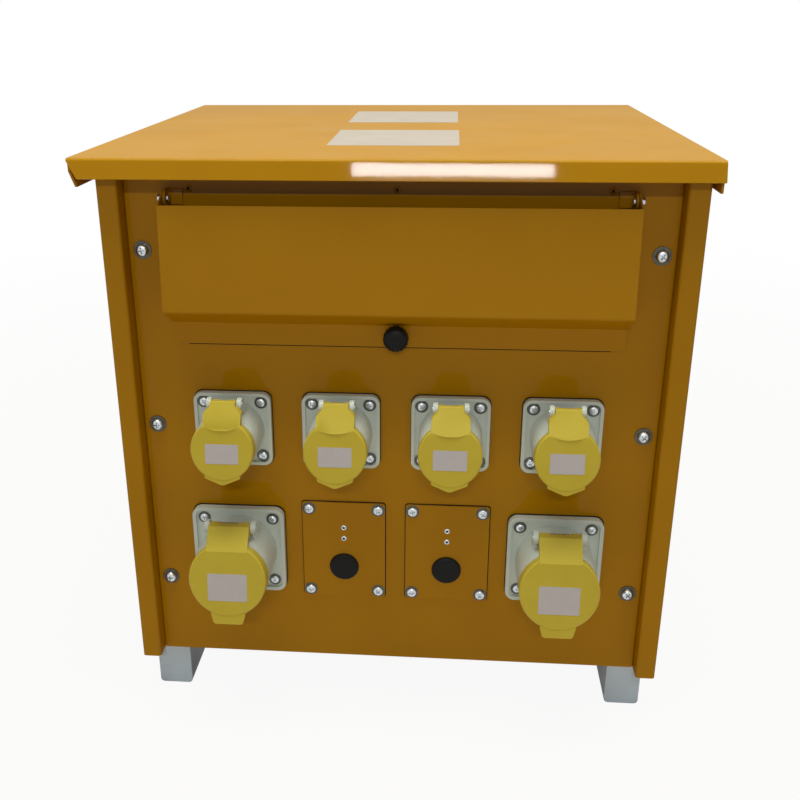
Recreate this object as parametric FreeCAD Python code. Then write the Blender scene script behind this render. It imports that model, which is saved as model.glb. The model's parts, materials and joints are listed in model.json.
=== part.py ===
import FreeCAD
import Part
import math
import os

from FreeCAD import Vector

# Portable site transformer in a folded steel cabinet: hinged breaker flap, six panel
# sockets with sprung lids, two covered provisions, and two runners under the cabinet.
# Millimetres. X points right, Y points back and Z points up, seen from the front.
# While it is built, z = 0 is the floor, x = 0 is the cabinet's middle and y = 0 is the
# front face of the cabinet's front returns.

# Cabinet sheet
sheet = 2.0
bend_radius = 1.0
cabinet_width = 500.0
cabinet_depth = 470.0
return_width = 18.0
panel_recess = 17.0
seat_width = 27.0
top_flange_width = 22.0
panel_side_gap = 1.0
panel_top_gap = 0.5

# Heights on the panel, a chain from the cabinet's lower edge
lower_row_height = 119.5
row_rise = 123.8
lip_above_row = 79.7
lip_height = 20.0
slope_rise = 17.0
face_height = 89.0
axis_above_face = 3.0
top_above_axis = 33.0

# Lid
lid_overhang = 12.0
lid_offset = -6.0
lid_side_drop = 25.5
lid_front_drop = 16.0
lid_front_lean = 17.0
lid_corner_cut = 12.0
lid_corner_rise = 18.0
lid_mitre = 13.0
lid_stud_radius = 3.0
lid_stud_length = 18.0
lid_stud_from_front = 70.0

# Runners
skid_width = 33.0
skid_height = 45.0
skid_wall = 3.0
skid_corner = 4.0
skid_inset = 9.0
skid_setback = 20.0
skid_cap_thickness = 2.0
skid_cap_plug = 10.0
skid_cap_gap = 0.3
skid_bolt_from_end = 45.0
skid_bolt_radius = 4.0
skid_bolt_flats = 13.0
skid_bolt_tail = 1.5
skid_access_radius = 9.6

# Base tray
tray_sheet = 3.0
tray_upstand = 28.0
tray_corner_notch = 8.0
tray_front_gap = 0.5
base_screw_height = 16.0
base_screw_from_end = 110.0

# Fasteners; their shanks, the holes that those fill and small pins have few sides
shank_sides = 6
pin_sides = 8
head_sides = 8
sleeve_sides = 12
tube_sides = 16
head_face_share = 0.72
m6_radius = 3.0
m6_across_flats = 10.0
m6_nut_height = 5.0
bolt_head_share = 1.4
bolt_tail = 1.0
hole_gap = 0.3
panel_head_radius = 6.0
panel_head_height = 4.0
panel_screw_tail = 2.0
panel_washer_radius = 8.0
panel_washer_thickness = 1.2
panel_screw_inset = 11.5
panel_screw_heights = (83.0, 244.0, 406.0)

# Vents in both sides and the back
louvre_length = 240.0
louvre_height = 12.0
louvre_reach = 7.0
louvre_pitch = 26.0
louvre_rows = 5
louvre_sheet = 1.5
louvre_below_top = 75.0

# Breaker flap
flap_sheet = 1.5
flap_side_margin = 34.5
flap_face_top_reach = 27.0
flap_face_bottom_reach = 34.0
flap_panel_gap = 0.5
flap_axis_reach = 8.0
flap_ear_radius = 6.5
flap_opening_angle = 80.0
hinge_rivet_radius = 2.5
hinge_running_gap = 0.05
hinge_side_gap = 0.4
hinge_lug_sheet = 2.0
hinge_lug_foot = 14.0
hinge_head_radius = 5.0
hinge_head_height = 3.0
hinge_tail_radius = 3.7
hinge_tail_height = 2.0

# Flap knob
knob_radius = 11.0
knob_height = 12.0
knob_neck_radius = 7.0
knob_neck_height = 3.0
knob_dome = 3.0
knob_stud_radius = 2.5
knob_stud_reach = 7.0
knob_panel_hole_radius = 4.2
knob_seat_gap = 0.3

# Breakers behind the flap
breaker_count = 7
breaker_width = 35.0
breaker_gap = 0.4
breaker_body_height = 80.0
breaker_nose_height = 45.0
breaker_nose_proud = 2.0
breaker_shoulder_gap = 2.0
breaker_body_depth = 44.0
breaker_clip_depth = 5.0
breaker_below_axis = 52.0
window_gap = 1.0
toggle_width = 24.0
toggle_side_gap = 0.4
toggle_hub_radius = 7.0
toggle_lever_length = 17.0
toggle_lever_thickness = 5.0
toggle_tip_thickness = 3.5
toggle_stub_radius = 2.0
toggle_stub_length = 2.0
toggle_axis_depth = 9.0
toggle_swing = 40.0
toggle_pocket_gap = 0.5

# Breaker bracket and rail
bracket_sheet = 1.5
bracket_rivet_inset = 21.0
bracket_rivet_above_axis = 6.7
bracket_rivet_radius = 2.0
bracket_rivet_head = 3.6
bracket_rivet_head_height = 1.2
rivet_tail_swell = 0.8
rivet_tail_length = 1.5
bracket_margin = 8.0
bracket_over_breaker = 10.0
rail_width = 35.0
rail_depth = 7.5
rail_lip = 5.0
rail_bend = 0.5
rail_gap = 0.4
rail_sheet = 1.0
rail_overrun = 20.0

# Cover plates over the unused provisions
plate_share_of_width = 0.0972
plate_width = 78.0
plate_height = 100.0
plate_sheet = 2.0
plate_corner = 3.0
plate_screw_x = 32.5
plate_screw_z = 43.3
plate_screw_head = 4.6
plate_screw_head_height = 2.8
plate_screw_radius = 2.5
plate_screw_tail = 3.0
plate_rivet_rises = (23.9, 12.5)
plate_rivet_radius = 2.0
plate_rivet_head = 3.0
plate_rivet_head_height = 1.0
plug_drop = 17.5
plug_radius = 13.85
plug_hole_radius = 12.5
plug_head_height = 3.0
plug_bevel = 1.5
plug_depth = 9.0
plug_wall = 1.6
provision_width = 44.0
provision_height = 70.0

# Panel sockets, common values
gasket_thickness = 1.5
gasket_margin = 0.6
gasket_screw_gap = 0.5
socket_screw_radius = 2.5
socket_screw_head = 4.3
socket_screw_head_height = 2.6
socket_screw_length = 14.0
socket_panel_gap = 0.5
contact_recess = 2.0
contact_end_gap = 4.0
contact_floor = 6.0
socket_floor = 5.0
pin_running_gap = 0.05
pin_side_gap = 0.3
barrel_wall = 2.0
spring_wall = 1.6
spring_pin_gap = 0.3
spring_slot_gap = 0.5
pin_overhang = 0.6
cheek_sink = 0.5
cheek_back_run = 22.0
cheek_back_round = 4.0
cheek_throat = 3.0
body_shoulder = 12.0
lid_wall = 2.2
lid_edge_bevel = 1.0
lid_tilt = 8.0
lug_step = 0.3
lid_skirt_overlap = 2.0
lid_skirt_gap = 0.5
lid_seal_gap = 0.3
lid_seal_width = 2.6
lug_root = 4.0
lug_shoulder_round = 2.0
lug_tip_round = 3.5
tab_fold_round = 1.2
tab_foot_round = 0.8
tab_corner_round = 2.0
tab_bow_round = 40.0
tab_neck = 4.3
lid_opening_angle = 105.0
keyway_width = 6.0
keyway_depth = 1.2

# Sockets of the upper row, 16 A
socket_16a_pitch_share = 0.1966
socket_16a = {
    "flange_side": 70.0,
    "flange_corner": 8.0,
    "flange_thickness": 3.5,
    "rim_height": 2.5,
    "rim_width": 3.0,
    "screw_offset": 26.0,
    "base_radius": 28.0,
    "collar_radius": 24.2,
    "collar_reach": 48.0,
    "bore_radius": 22.0,
    "rear_radius": 24.0,
    "rear_length": 22.0,
    "carrier_radius": 16.0,
    "carrier_recess": 6.0,
    "contact_circle": 8.5,
    "contact_radius": 3.0,
    "contact_bore": 2.4,
    "lid_radius": 27.5,
    "lid_rise": 1.0,
    "lid_reach": 58.0,
    "lug_half_width": 15.7,
    "lug_shoulder": 25.0,
    "lug_tip": 31.0,
    "lug_tip_half_width": 1.5,
    "lug_thickness": 7.0,
    "tab_top_rise": 41.3,
    "tab_top_reach": 43.5,
    "tab_top_half_width": 11.0,
    "tab_foot_rise": 21.0,
    "tab_foot_proud": 1.2,
    "tab_foot_half_width": 16.5,
    "tab_foot_bow": 3.3,
    "pin_rise": 35.5,
    "pin_reach": 35.0,
    "pin_radius": 2.0,
    "cheek_thickness": 4.0,
    "cheek_radius": 5.5,
}

# Sockets of the lower row, 32 A
socket_32a_share_of_width = 0.296
socket_32a = {
    "flange_side": 87.0,
    "flange_corner": 9.0,
    "flange_thickness": 4.0,
    "rim_height": 3.0,
    "rim_width": 3.5,
    "screw_offset": 32.5,
    "base_radius": 35.5,
    "collar_radius": 31.0,
    "collar_reach": 54.0,
    "bore_radius": 28.5,
    "rear_radius": 30.0,
    "rear_length": 26.0,
    "carrier_radius": 22.0,
    "carrier_recess": 6.0,
    "contact_circle": 11.5,
    "contact_radius": 4.0,
    "contact_bore": 3.2,
    "lid_radius": 35.25,
    "lid_rise": 0.5,
    "lid_reach": 66.0,
    "lug_half_width": 15.8,
    "lug_shoulder": 33.0,
    "lug_tip": 42.5,
    "lug_tip_half_width": 13.3,
    "lug_thickness": 8.0,
    "tab_top_rise": 45.5,
    "tab_top_reach": 47.5,
    "tab_top_half_width": 18.6,
    "tab_foot_rise": 27.0,
    "tab_foot_proud": 0.4,
    "tab_foot_half_width": 18.6,
    "tab_foot_bow": 0.0,
    "pin_rise": 40.8,
    "pin_reach": 39.0,
    "pin_radius": 2.5,
    "cheek_thickness": 4.5,
    "cheek_radius": 6.0,
}

# Supply inlet: a gland in the back wall, with its locknut inside
gland_inset = 100.0
gland_height = 70.0
gland_thread_radius = 16.0
gland_bore_radius = 11.0
gland_flats = 40.0
gland_hex_length = 8.0
gland_dome_radius = 18.0
gland_dome_length = 22.0
gland_dome_bevel = 4.0
gland_inside_length = 13.0
locknut_flats = 41.0
locknut_thickness = 6.0

# Transformer on the tray
core_width = 240.0
core_height = 200.0
core_stack = 110.0
core_limb = 80.0
core_yoke = 40.0
core_back_of_middle = 20.0
core_lift = 3.0
winding_gap = 1.0
winding_corner = 12.0
winding_end_turn = 34.0
clamp_leg = 35.0
clamp_thickness = 4.0
clamp_overrun = 12.0
core_bolt_radius = 5.0
core_bolt_flats = 17.0
core_bolt_tail = 2.0
core_bolt_inset = 20.0
foot_bolt_spread = 100.0
foot_bolt_from_core = 22.0
terminal_width = 150.0
terminal_depth = 26.0
terminal_height = 30.0
terminal_ways = 10
terminal_well = 7.0
terminal_well_depth = 15.0
terminal_slot_width = 1.0
terminal_slot_depth = 7.5
earth_stud_radius = 3.0
earth_stud_length = 26.0
earth_stud_inset = 60.0
earth_stud_behind_front = 45.0

# Places worked out from the sizes above
cabinet_bottom = skid_height
half_width = cabinet_width / 2.0
lower_row = cabinet_bottom + lower_row_height
upper_row = lower_row + row_rise
lip_bottom = upper_row + lip_above_row
lip_top = lip_bottom + lip_height
face_bottom = lip_top + slope_rise
face_top = face_bottom + face_height
flap_axis_z = face_top + axis_above_face
cabinet_top = flap_axis_z + top_above_axis

panel_front = panel_recess
panel_back = panel_front + sheet
seat_back = panel_back + sheet
panel_half = half_width - return_width - panel_side_gap
panel_top = cabinet_top - panel_top_gap
flap_half = panel_half - flap_side_margin
bracket_rivet_offset = flap_half - bracket_rivet_inset
flap_axis_y = panel_front - flap_axis_reach
panel_screw_x = panel_half - panel_screw_inset

breaker_row_z = flap_axis_z - breaker_below_axis
breaker_nose_y = panel_front - breaker_nose_proud
breaker_shoulder_y = panel_back + breaker_shoulder_gap
rail_face_y = breaker_shoulder_y + breaker_body_depth
rail_back_y = rail_face_y + rail_depth
toggle_axis_y = breaker_nose_y + toggle_axis_depth
toggle_pocket_half = toggle_hub_radius + toggle_lever_thickness

skid_centre = half_width - skid_inset - skid_width / 2.0
gland_offset = gland_inset - half_width
skid_front = skid_setback
skid_rear = cabinet_depth - skid_setback
tray_half = half_width - sheet
earth_stud_x = half_width - earth_stud_inset
tray_front = seat_back + tray_front_gap
tray_rear = cabinet_depth - sheet
tray_floor = cabinet_bottom + tray_sheet

socket_16a_pitch = cabinet_width * socket_16a_pitch_share
socket_32a_offset = cabinet_width * socket_32a_share_of_width
plate_offset = cabinet_width * plate_share_of_width
upper_socket_places = [(socket_16a_pitch * (i - 1.5), upper_row) for i in range(4)]
lower_socket_places = [(side * socket_32a_offset, lower_row) for side in (-1, 1)]
plate_places = [(side * plate_offset, lower_row) for side in (-1, 1)]

nodes = {}


# Plain solids and outlines

def block(x0, x1, y0, y1, z0, z1):
    return Part.makeBox(x1 - x0, y1 - y0, z1 - z0, Vector(x0, y0, z0))


def rod_x(y, z, radius, x0, x1):
    return Part.makeCylinder(radius, x1 - x0, Vector(x0, y, z), Vector(1, 0, 0))


def rod_y(x, z, radius, y0, y1):
    return Part.makeCylinder(radius, y1 - y0, Vector(x, y0, z), Vector(0, 1, 0))


def rod_z(x, y, radius, z0, z1):
    return Part.makeCylinder(radius, z1 - z0, Vector(x, y, z0), Vector(0, 0, 1))


def ring_of_corners(radius, sides):
    turn = 2 * math.pi / sides
    return [(radius * math.cos(turn * (i + 0.5)), radius * math.sin(turn * (i + 0.5)))
            for i in range(sides)]


def on_front(u, v):
    return Vector(u, 0.0, v)


def on_side(u, v):
    return Vector(0.0, u, v)


def on_plan(u, v):
    return Vector(u, v, 0.0)


def outline(points, radii, place):
    """Closed wire through the corner points, each corner rounded by its own radius."""
    corners = [Vector(u, v, 0.0) for u, v in points]
    count = len(corners)
    stretches = []
    for i, corner in enumerate(corners):
        before = (corners[i - 1] - corner).normalize()
        after = (corners[(i + 1) % count] - corner).normalize()
        half_angle = before.getAngle(after) / 2.0
        radius = radii[i]
        if radius <= 0.0:
            stretches.append((corner, None, corner))
            continue
        reach = radius / math.tan(half_angle)
        start = corner + before * reach
        end = corner + after * reach
        inward = (before + after).normalize()
        centre = corner + inward * (radius / math.sin(half_angle))
        stretches.append((start, centre - inward * radius, end))
    edges = []
    for i, (start, middle, end) in enumerate(stretches):
        if middle is not None:
            spots = [place(p.x, p.y) for p in (start, middle, end)]
            edges.append(Part.Arc(*spots).toShape())
        following = stretches[(i + 1) % count][0]
        if (following - end).Length > 1e-6:
            edges.append(Part.makeLine(place(end.x, end.y), place(following.x, following.y)))
    return Part.Wire(edges)


def prism(points, radii, place, start, travel):
    """Solid with the given outline, from start and along travel."""
    corner_radii = radii if isinstance(radii, (list, tuple)) else [radii] * len(points)
    face = Part.Face(outline(points, corner_radii, place))
    solid = face.extrude(travel)
    solid.translate(start)
    return solid


def front_prism(points, radii, y0, y1):
    return prism(points, radii, on_front, Vector(0, y0, 0), Vector(0, y1 - y0, 0))


def side_prism(points, radii, x0, x1):
    return prism(points, radii, on_side, Vector(x0, 0, 0), Vector(x1 - x0, 0, 0))


def plan_prism(points, radii, z0, z1):
    return prism(points, radii, on_plan, Vector(0, 0, z0), Vector(0, 0, z1 - z0))


def small_rod_y(x, z, radius, y0, y1, sides=shank_sides):
    """Rod with few sides, for shanks of small fasteners and the holes that they fill."""
    return at(front_prism(ring_of_corners(radius, sides), 0.0, y0, y1), x, 0.0, z)


def small_rod_x(y, z, radius, x0, x1, sides=shank_sides):
    return at(side_prism(ring_of_corners(radius, sides), 0.0, x0, x1), 0.0, y, z)


def small_rod_z(x, y, radius, z0, z1, sides=shank_sides):
    return at(plan_prism(ring_of_corners(radius, sides), 0.0, z0, z1), x, y, 0.0)


def tube_y(x, z, radius, y0, y1):
    """Round tube or hole that other pieces hide, with few sides."""
    return small_rod_y(x, z, radius, y0, y1, tube_sides)


def pin_x(y, z, radius, x0, x1):
    return small_rod_x(y, z, radius, x0, x1, pin_sides)


def pin_bore_x(y, z, radius, x0, x1):
    """Bore whose flats stand at the radius, so that a pin with few sides turns in it."""
    return small_rod_x(y, z, radius / math.cos(math.pi / pin_sides), x0, x1, pin_sides)


def rectangle(u0, u1, v0, v1):
    return [(u0, v0), (u1, v0), (u1, v1), (u0, v1)]


def folded_section(points, thickness, inner_radius):
    """Corner points and radii of a sheet folded along its middle line."""
    left_side = []
    right_side = []
    spots = [Vector(u, v, 0.0) for u, v in points]
    last = len(spots) - 1
    for i, spot in enumerate(spots):
        into = (spots[i] - spots[i - 1]).normalize() if i > 0 else None
        out = (spots[i + 1] - spots[i]).normalize() if i < last else None
        into = into or out
        out = out or into
        normal_in = Vector(-into.y, into.x, 0.0)
        normal_out = Vector(-out.y, out.x, 0.0)
        mitre = (normal_in + normal_out) * (1.0 / (1.0 + normal_in.dot(normal_out)))
        turn = into.x * out.y - into.y * out.x
        end = i in (0, last)
        for side, row in ((1, left_side), (-1, right_side)):
            corner = spot + mitre * (side * thickness / 2.0)
            inside = turn * side > 0
            radius = 0.0 if end else inner_radius + (0.0 if inside else thickness)
            row.append(((corner.x, corner.y), radius))
    loop = left_side + right_side[::-1]
    return [corner for corner, radius in loop], [radius for corner, radius in loop]


def join(solids):
    """One solid from several that overlap or meet."""
    whole = solids[0].multiFuse(solids[1:]) if len(solids) > 1 else solids[0]
    return whole.removeSplitter()


def mirrored(shape):
    return shape.mirror(Vector(0, 0, 0), Vector(1, 0, 0))


def both_sides(shape):
    return [shape, mirrored(shape)]


def group(solids):
    return Part.makeCompound(solids)


def hexagon(flats):
    radius = flats / math.sqrt(3.0)
    return [(radius * math.cos(math.radians(60 * i)), radius * math.sin(math.radians(60 * i)))
            for i in range(6)]


def at(shape, x, y, z):
    moved = shape.copy()
    moved.translate(Vector(x, y, z))
    return moved


def turned(shape, axis, angle):
    copy = shape.copy()
    copy.rotate(Vector(0, 0, 0), axis, angle)
    return copy


# Cabinet shell: one sheet folded round both sides and the back

def louvre():
    """Pressed vent for a wall whose outer face is x = 0: its hood and the slot under it."""
    half = louvre_length / 2.0
    nose = louvre_height / 3.0
    wedge = [(0.0, 0.0), (louvre_reach, 0.0), (louvre_reach, nose), (0.0, louvre_height)]
    outside = prism(wedge, 0.0, on_front, Vector(0, -half, 0), Vector(0, 2 * half, 0))
    inner = half - louvre_sheet
    inside_points = [(-sheet, -1.0), (louvre_reach - louvre_sheet, -1.0),
                     (louvre_reach - louvre_sheet, nose - louvre_sheet / 2.0),
                     (0.0, louvre_height - 2 * louvre_sheet),
                     (-sheet, louvre_height - 2 * louvre_sheet)]
    inside = prism(inside_points, 0.0, on_front, Vector(0, -inner, 0), Vector(0, 2 * inner, 0))
    slot = block(-sheet, 0.0, -inner, inner, 0.0, louvre_height - 2 * louvre_sheet)
    return outside.cut(inside), slot


def louvre_wall(middle, turn, outer):
    """Hoods and slots of one wall: a column of rows under the cabinet's top."""
    hood, slot = louvre()
    hoods = []
    slots = []
    for row in range(louvre_rows):
        height = cabinet_top - louvre_below_top - row * louvre_pitch
        for source, kept in ((hood, hoods), (slot, slots)):
            piece = turned(at(source, outer, 0.0, height), Vector(0, 0, 1), turn)
            kept.append(at(piece, *middle, 0.0))
    return hoods, slots


def panel_screw_places():
    return [(side * panel_screw_x, cabinet_bottom + height)
            for side in (-1, 1) for height in panel_screw_heights]


def lid_stud_places():
    reach = half_width - top_flange_width / 2.0
    rows = (lid_stud_from_front, cabinet_depth - lid_stud_from_front)
    return [(side * reach, y) for side in (-1, 1) for y in rows]


def base_screw_rows():
    """Heads on the two side walls, as y places, and on the back wall, as x places."""
    sides = (base_screw_from_end, cabinet_depth - base_screw_from_end)
    back = (-half_width + base_screw_from_end, half_width - base_screw_from_end)
    return sides, back


def cabinet_shell():
    half_sheet = sheet / 2.0
    wall_x = half_width - half_sheet
    recess_x = half_width - return_width + half_sheet
    seat_y = panel_back + half_sheet
    seat_end = recess_x - seat_width
    left = [(-seat_end, seat_y), (-recess_x, seat_y), (-recess_x, half_sheet),
            (-wall_x, half_sheet), (-wall_x, cabinet_depth - half_sheet)]
    right = [(-x, y) for x, y in reversed(left)]
    points, radii = folded_section(left + right, sheet, bend_radius)
    wrap = plan_prism(points, radii, cabinet_bottom, cabinet_top)
    flange = block(half_width - top_flange_width, half_width - bend_radius, seat_back,
                   cabinet_depth - bend_radius, cabinet_top - sheet, cabinet_top)
    back_flange = block(-half_width + bend_radius, half_width - bend_radius,
                        cabinet_depth - top_flange_width, cabinet_depth - bend_radius,
                        cabinet_top - sheet, cabinet_top)
    middle_y = cabinet_depth / 2.0
    walls = [louvre_wall((0.0, middle_y), 0.0, half_width),
             louvre_wall((0.0, middle_y), 180.0, half_width),
             louvre_wall((0.0, middle_y), 90.0, middle_y)]
    hoods = [hood for wall in walls for hood in wall[0]]
    slots = [slot for wall in walls for slot in wall[1]]
    holes = [small_rod_y(x, z, m6_radius + hole_gap, panel_back, seat_back)
             for x, z in panel_screw_places()]
    holes += [small_rod_z(x, y, lid_stud_radius + hole_gap, cabinet_top - sheet, cabinet_top)
              for x, y in lid_stud_places()]
    side_rows, back_rows = base_screw_rows()
    height = cabinet_bottom + base_screw_height
    for y in side_rows:
        holes += [small_rod_x(y, height, m6_radius + hole_gap, side - sheet, side + sheet)
                  for side in (-half_width, half_width)]
    holes += [small_rod_y(x, height, m6_radius + hole_gap, cabinet_depth - 2 * sheet,
                          cabinet_depth + sheet) for x in back_rows]
    holes.append(rod_y(gland_offset, cabinet_bottom + gland_height,
                       gland_thread_radius + hole_gap, cabinet_depth - 2 * sheet,
                       cabinet_depth + sheet))
    shell = join([wrap, back_flange] + both_sides(flange) + hoods)
    return shell.cut(slots + holes)


# Base tray, with its screws through the shell

def base_tray():
    floor_top = tray_floor
    top = cabinet_bottom + tray_upstand
    whole = block(-tray_half, tray_half, tray_front, tray_rear, cabinet_bottom, top)
    hollow = block(-tray_half + tray_sheet, tray_half - tray_sheet, tray_front + tray_sheet,
                   tray_rear - tray_sheet, floor_top, top)
    notches = []
    for x in (-tray_half, tray_half - tray_corner_notch):
        for y in (tray_front, tray_rear - tray_corner_notch):
            notches.append(block(x, x + tray_corner_notch, y, y + tray_corner_notch,
                                 floor_top, top))
    for x in (-tray_half, tray_half - bend_radius):
        notches.append(block(x, x + bend_radius, tray_rear - bend_radius, tray_rear,
                             cabinet_bottom, top))
    side_rows, back_rows = base_screw_rows()
    height = cabinet_bottom + base_screw_height
    holes = [small_rod_x(y, height, m6_radius + hole_gap, -half_width, half_width)
             for y in side_rows]
    holes += [small_rod_y(x, height, m6_radius + hole_gap, tray_rear - 2 * tray_sheet,
                          cabinet_depth) for x in back_rows]
    holes += [small_rod_z(x, y, skid_bolt_radius + hole_gap, cabinet_bottom, floor_top)
              for x, y in skid_bolt_places()]
    holes += [small_rod_z(x, y, m6_radius + hole_gap, cabinet_bottom, floor_top)
              for x, y in foot_bolt_places()]
    holes.append(small_rod_z(earth_stud_x, tray_front + earth_stud_behind_front,
                             earth_stud_radius, cabinet_bottom, floor_top))
    return whole.cut([hollow] + notches + holes)


def hex_bolt(radius, flats, grip, tail):
    """Tightened bolt along Z, its head's underside at z = 0: head, shank and nut as one."""
    head = plan_prism(hexagon(flats), 0.0, 0.0, bolt_head_share * radius)
    nut_end = -grip - m6_nut_height
    shank = small_rod_z(0.0, 0.0, radius, nut_end - tail, 0.0)
    nut = plan_prism(hexagon(flats), 0.0, nut_end, -grip)
    return join([head, shank, nut])


def base_screws():
    bolt = hex_bolt(m6_radius, m6_across_flats, sheet + tray_sheet, bolt_tail)
    to_right = turned(bolt, Vector(0, 1, 0), 90)
    to_back = turned(bolt, Vector(1, 0, 0), -90)
    side_rows, back_rows = base_screw_rows()
    height = cabinet_bottom + base_screw_height
    pieces = []
    for y in side_rows:
        pieces += both_sides(at(to_right, half_width, y, height))
    pieces += [at(to_back, x, cabinet_depth, height) for x in back_rows]
    return group(pieces)


# Front panel with its cut-outs

def socket_holes():
    holes = []
    for places, size in ((upper_socket_places, socket_16a), (lower_socket_places, socket_32a)):
        for x, z in places:
            holes.append(tube_y(x, z, size["rear_radius"] + socket_panel_gap,
                                panel_front, panel_back))
            for sx, sz in socket_screw_corners(size):
                holes.append(small_rod_y(x + sx, z + sz, socket_screw_radius,
                                         panel_front, panel_back))
    return holes


def breaker_window():
    half = breaker_count * breaker_width / 2.0 + window_gap
    rise = breaker_nose_height / 2.0 + window_gap
    return block(-half, half, panel_front, panel_back, breaker_row_z - rise,
                 breaker_row_z + rise)


def front_panel():
    plate = block(-panel_half, panel_half, panel_front, panel_back, cabinet_bottom, panel_top)
    tools = socket_holes() + [breaker_window()]
    tools += [small_rod_y(x, z, m6_radius + hole_gap, panel_front, panel_back)
              for x, z in panel_screw_places()]
    tools.append(rod_y(0.0, knob_height_on_lip(), knob_panel_hole_radius,
                       panel_front, panel_back))
    tools += [small_rod_y(x, z, bracket_rivet_radius, panel_front, panel_back)
              for x, z in bracket_rivet_places()]
    for x, z in plate_places:
        tools.append(block(x - provision_width / 2.0, x + provision_width / 2.0, panel_front,
                           panel_back, z - provision_height / 2.0, z + provision_height / 2.0))
        tools += [small_rod_y(x + sx, z + sz, plate_screw_radius, panel_front, panel_back)
                  for sx, sz in plate_screw_corners()]
    return plate.cut(tools)


def panel_fixings():
    """Screws with their washers in front of the panel, and nuts clinched behind its seats."""
    screws = []
    washers = []
    nuts = []
    washer_front = panel_front - panel_washer_thickness
    nut_back = seat_back + m6_nut_height
    for x, z in panel_screw_places():
        screws.append(pan_screw(x, z, m6_radius, panel_head_radius, panel_head_height,
                                washer_front, nut_back + panel_screw_tail))
        washer = small_rod_y(x, z, panel_washer_radius, washer_front, panel_front,
                             sleeve_sides)
        washers.append(washer.cut(small_rod_y(x, z, m6_radius + hole_gap, washer_front,
                                              panel_front)))
        nut = at(front_prism(hexagon(m6_across_flats), 0.0, seat_back, nut_back), x, 0.0, z)
        nuts.append(nut.cut(small_rod_y(x, z, m6_radius, seat_back, nut_back)))
    nodes["panel_screws"] = group(screws)
    nodes["panel_washers"] = group(washers)
    nodes["panel_nuts"] = group(nuts)


# Lid

def lid():
    half = half_width + lid_overhang
    front = -lid_overhang
    rear = cabinet_depth + lid_overhang
    top = cabinet_top + sheet
    middle = cabinet_top + sheet / 2.0
    half_sheet = sheet / 2.0
    side_points = [(-half + half_sheet, top - lid_side_drop), (-half + half_sheet, middle),
                   (half - half_sheet, middle), (half - half_sheet, top - lid_side_drop)]
    corners, radii = folded_section(side_points, sheet, bend_radius)
    inset = sheet + bend_radius
    cover = front_prism(corners, radii, front + inset, rear - inset)
    lean = math.radians(lid_front_lean)
    edge_y = front + half_sheet
    foot = (edge_y - lid_front_drop * math.sin(lean), middle - lid_front_drop * math.cos(lean))
    long_points = [foot, (edge_y, middle), (rear - half_sheet, middle),
                   (rear - half_sheet, top - lid_side_drop)]
    corners, radii = folded_section(long_points, sheet, bend_radius)
    apron = side_prism(corners, radii, -half, half)
    below = middle - lid_front_drop - lid_side_drop
    mitre = front_prism([(-half, middle - half_sheet), (-half, below),
                         (-half + lid_mitre * 2.0, below)], 0.0,
                        foot[0] - sheet, front + inset)
    corner_cut = side_prism([(front, top - lid_side_drop), (front, top - lid_side_drop +
                            lid_corner_rise), (front + inset + lid_corner_cut,
                            top - lid_side_drop)], 0.0, -half, -half + sheet + bend_radius)
    studs = [small_rod_z(x - lid_offset, y, lid_stud_radius, cabinet_top - lid_stud_length, middle)
             for x, y in lid_stud_places()]
    whole = join([cover, apron]).cut([mitre, corner_cut])
    return at(join([whole] + studs), lid_offset, 0.0, 0.0)


def lid_nuts():
    nuts = []
    under = cabinet_top - sheet
    for x, y in lid_stud_places():
        nut = plan_prism(hexagon(m6_across_flats), 0.0, under - m6_nut_height, under)
        nut = at(nut, x, y, 0.0)
        nuts.append(nut.cut(small_rod_z(x, y, lid_stud_radius, under - m6_nut_height, under)))
    return group(nuts)


# Runners under the cabinet

def skid_bolt_places():
    rows = (skid_front + skid_bolt_from_end, skid_rear - skid_bolt_from_end)
    return [(side * skid_centre, y) for side in (-1, 1) for y in rows]


def skid_right():
    x0 = skid_centre - skid_width / 2.0
    x1 = skid_centre + skid_width / 2.0
    y0 = skid_front + skid_cap_thickness
    y1 = skid_rear - skid_cap_thickness
    tube = front_prism(rectangle(x0, x1, 0.0, skid_height), skid_corner, y0, y1)
    inner = rectangle(x0 + skid_wall, x1 - skid_wall, skid_wall, skid_height - skid_wall)
    tube = tube.cut(front_prism(inner, skid_corner - skid_wall, y0, y1))
    holes = []
    for x, y in skid_bolt_places():
        if x > 0:
            holes.append(small_rod_z(x, y, skid_bolt_radius + hole_gap,
                                     skid_height - skid_wall, skid_height))
            holes.append(small_rod_z(x, y, skid_access_radius, 0.0, skid_wall, pin_sides))
    return tube.cut(holes)


def skid_end_caps():
    x0 = skid_centre - skid_width / 2.0
    x1 = skid_centre + skid_width / 2.0
    margin = skid_wall + skid_cap_gap
    face = front_prism(rectangle(x0, x1, 0.0, skid_height), skid_corner,
                       skid_front, skid_front + skid_cap_thickness)
    plug = front_prism(rectangle(x0 + margin, x1 - margin, margin, skid_height - margin), 0.0,
                       skid_front + skid_cap_thickness,
                       skid_front + skid_cap_thickness + skid_cap_plug)
    cap = join([face, plug])
    middle_y = (skid_front + skid_rear) / 2.0
    rear_cap = cap.mirror(Vector(0, middle_y, 0), Vector(0, 1, 0))
    return group(both_sides(cap) + both_sides(rear_cap))


def skid_bolts():
    bolt = hex_bolt(skid_bolt_radius, skid_bolt_flats, tray_sheet + skid_wall, skid_bolt_tail)
    return group([at(bolt, x, y, tray_floor) for x, y in skid_bolt_places()])


# Breaker flap and its hinge

def knob_height_on_lip():
    return (lip_bottom + lip_top) / 2.0


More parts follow.
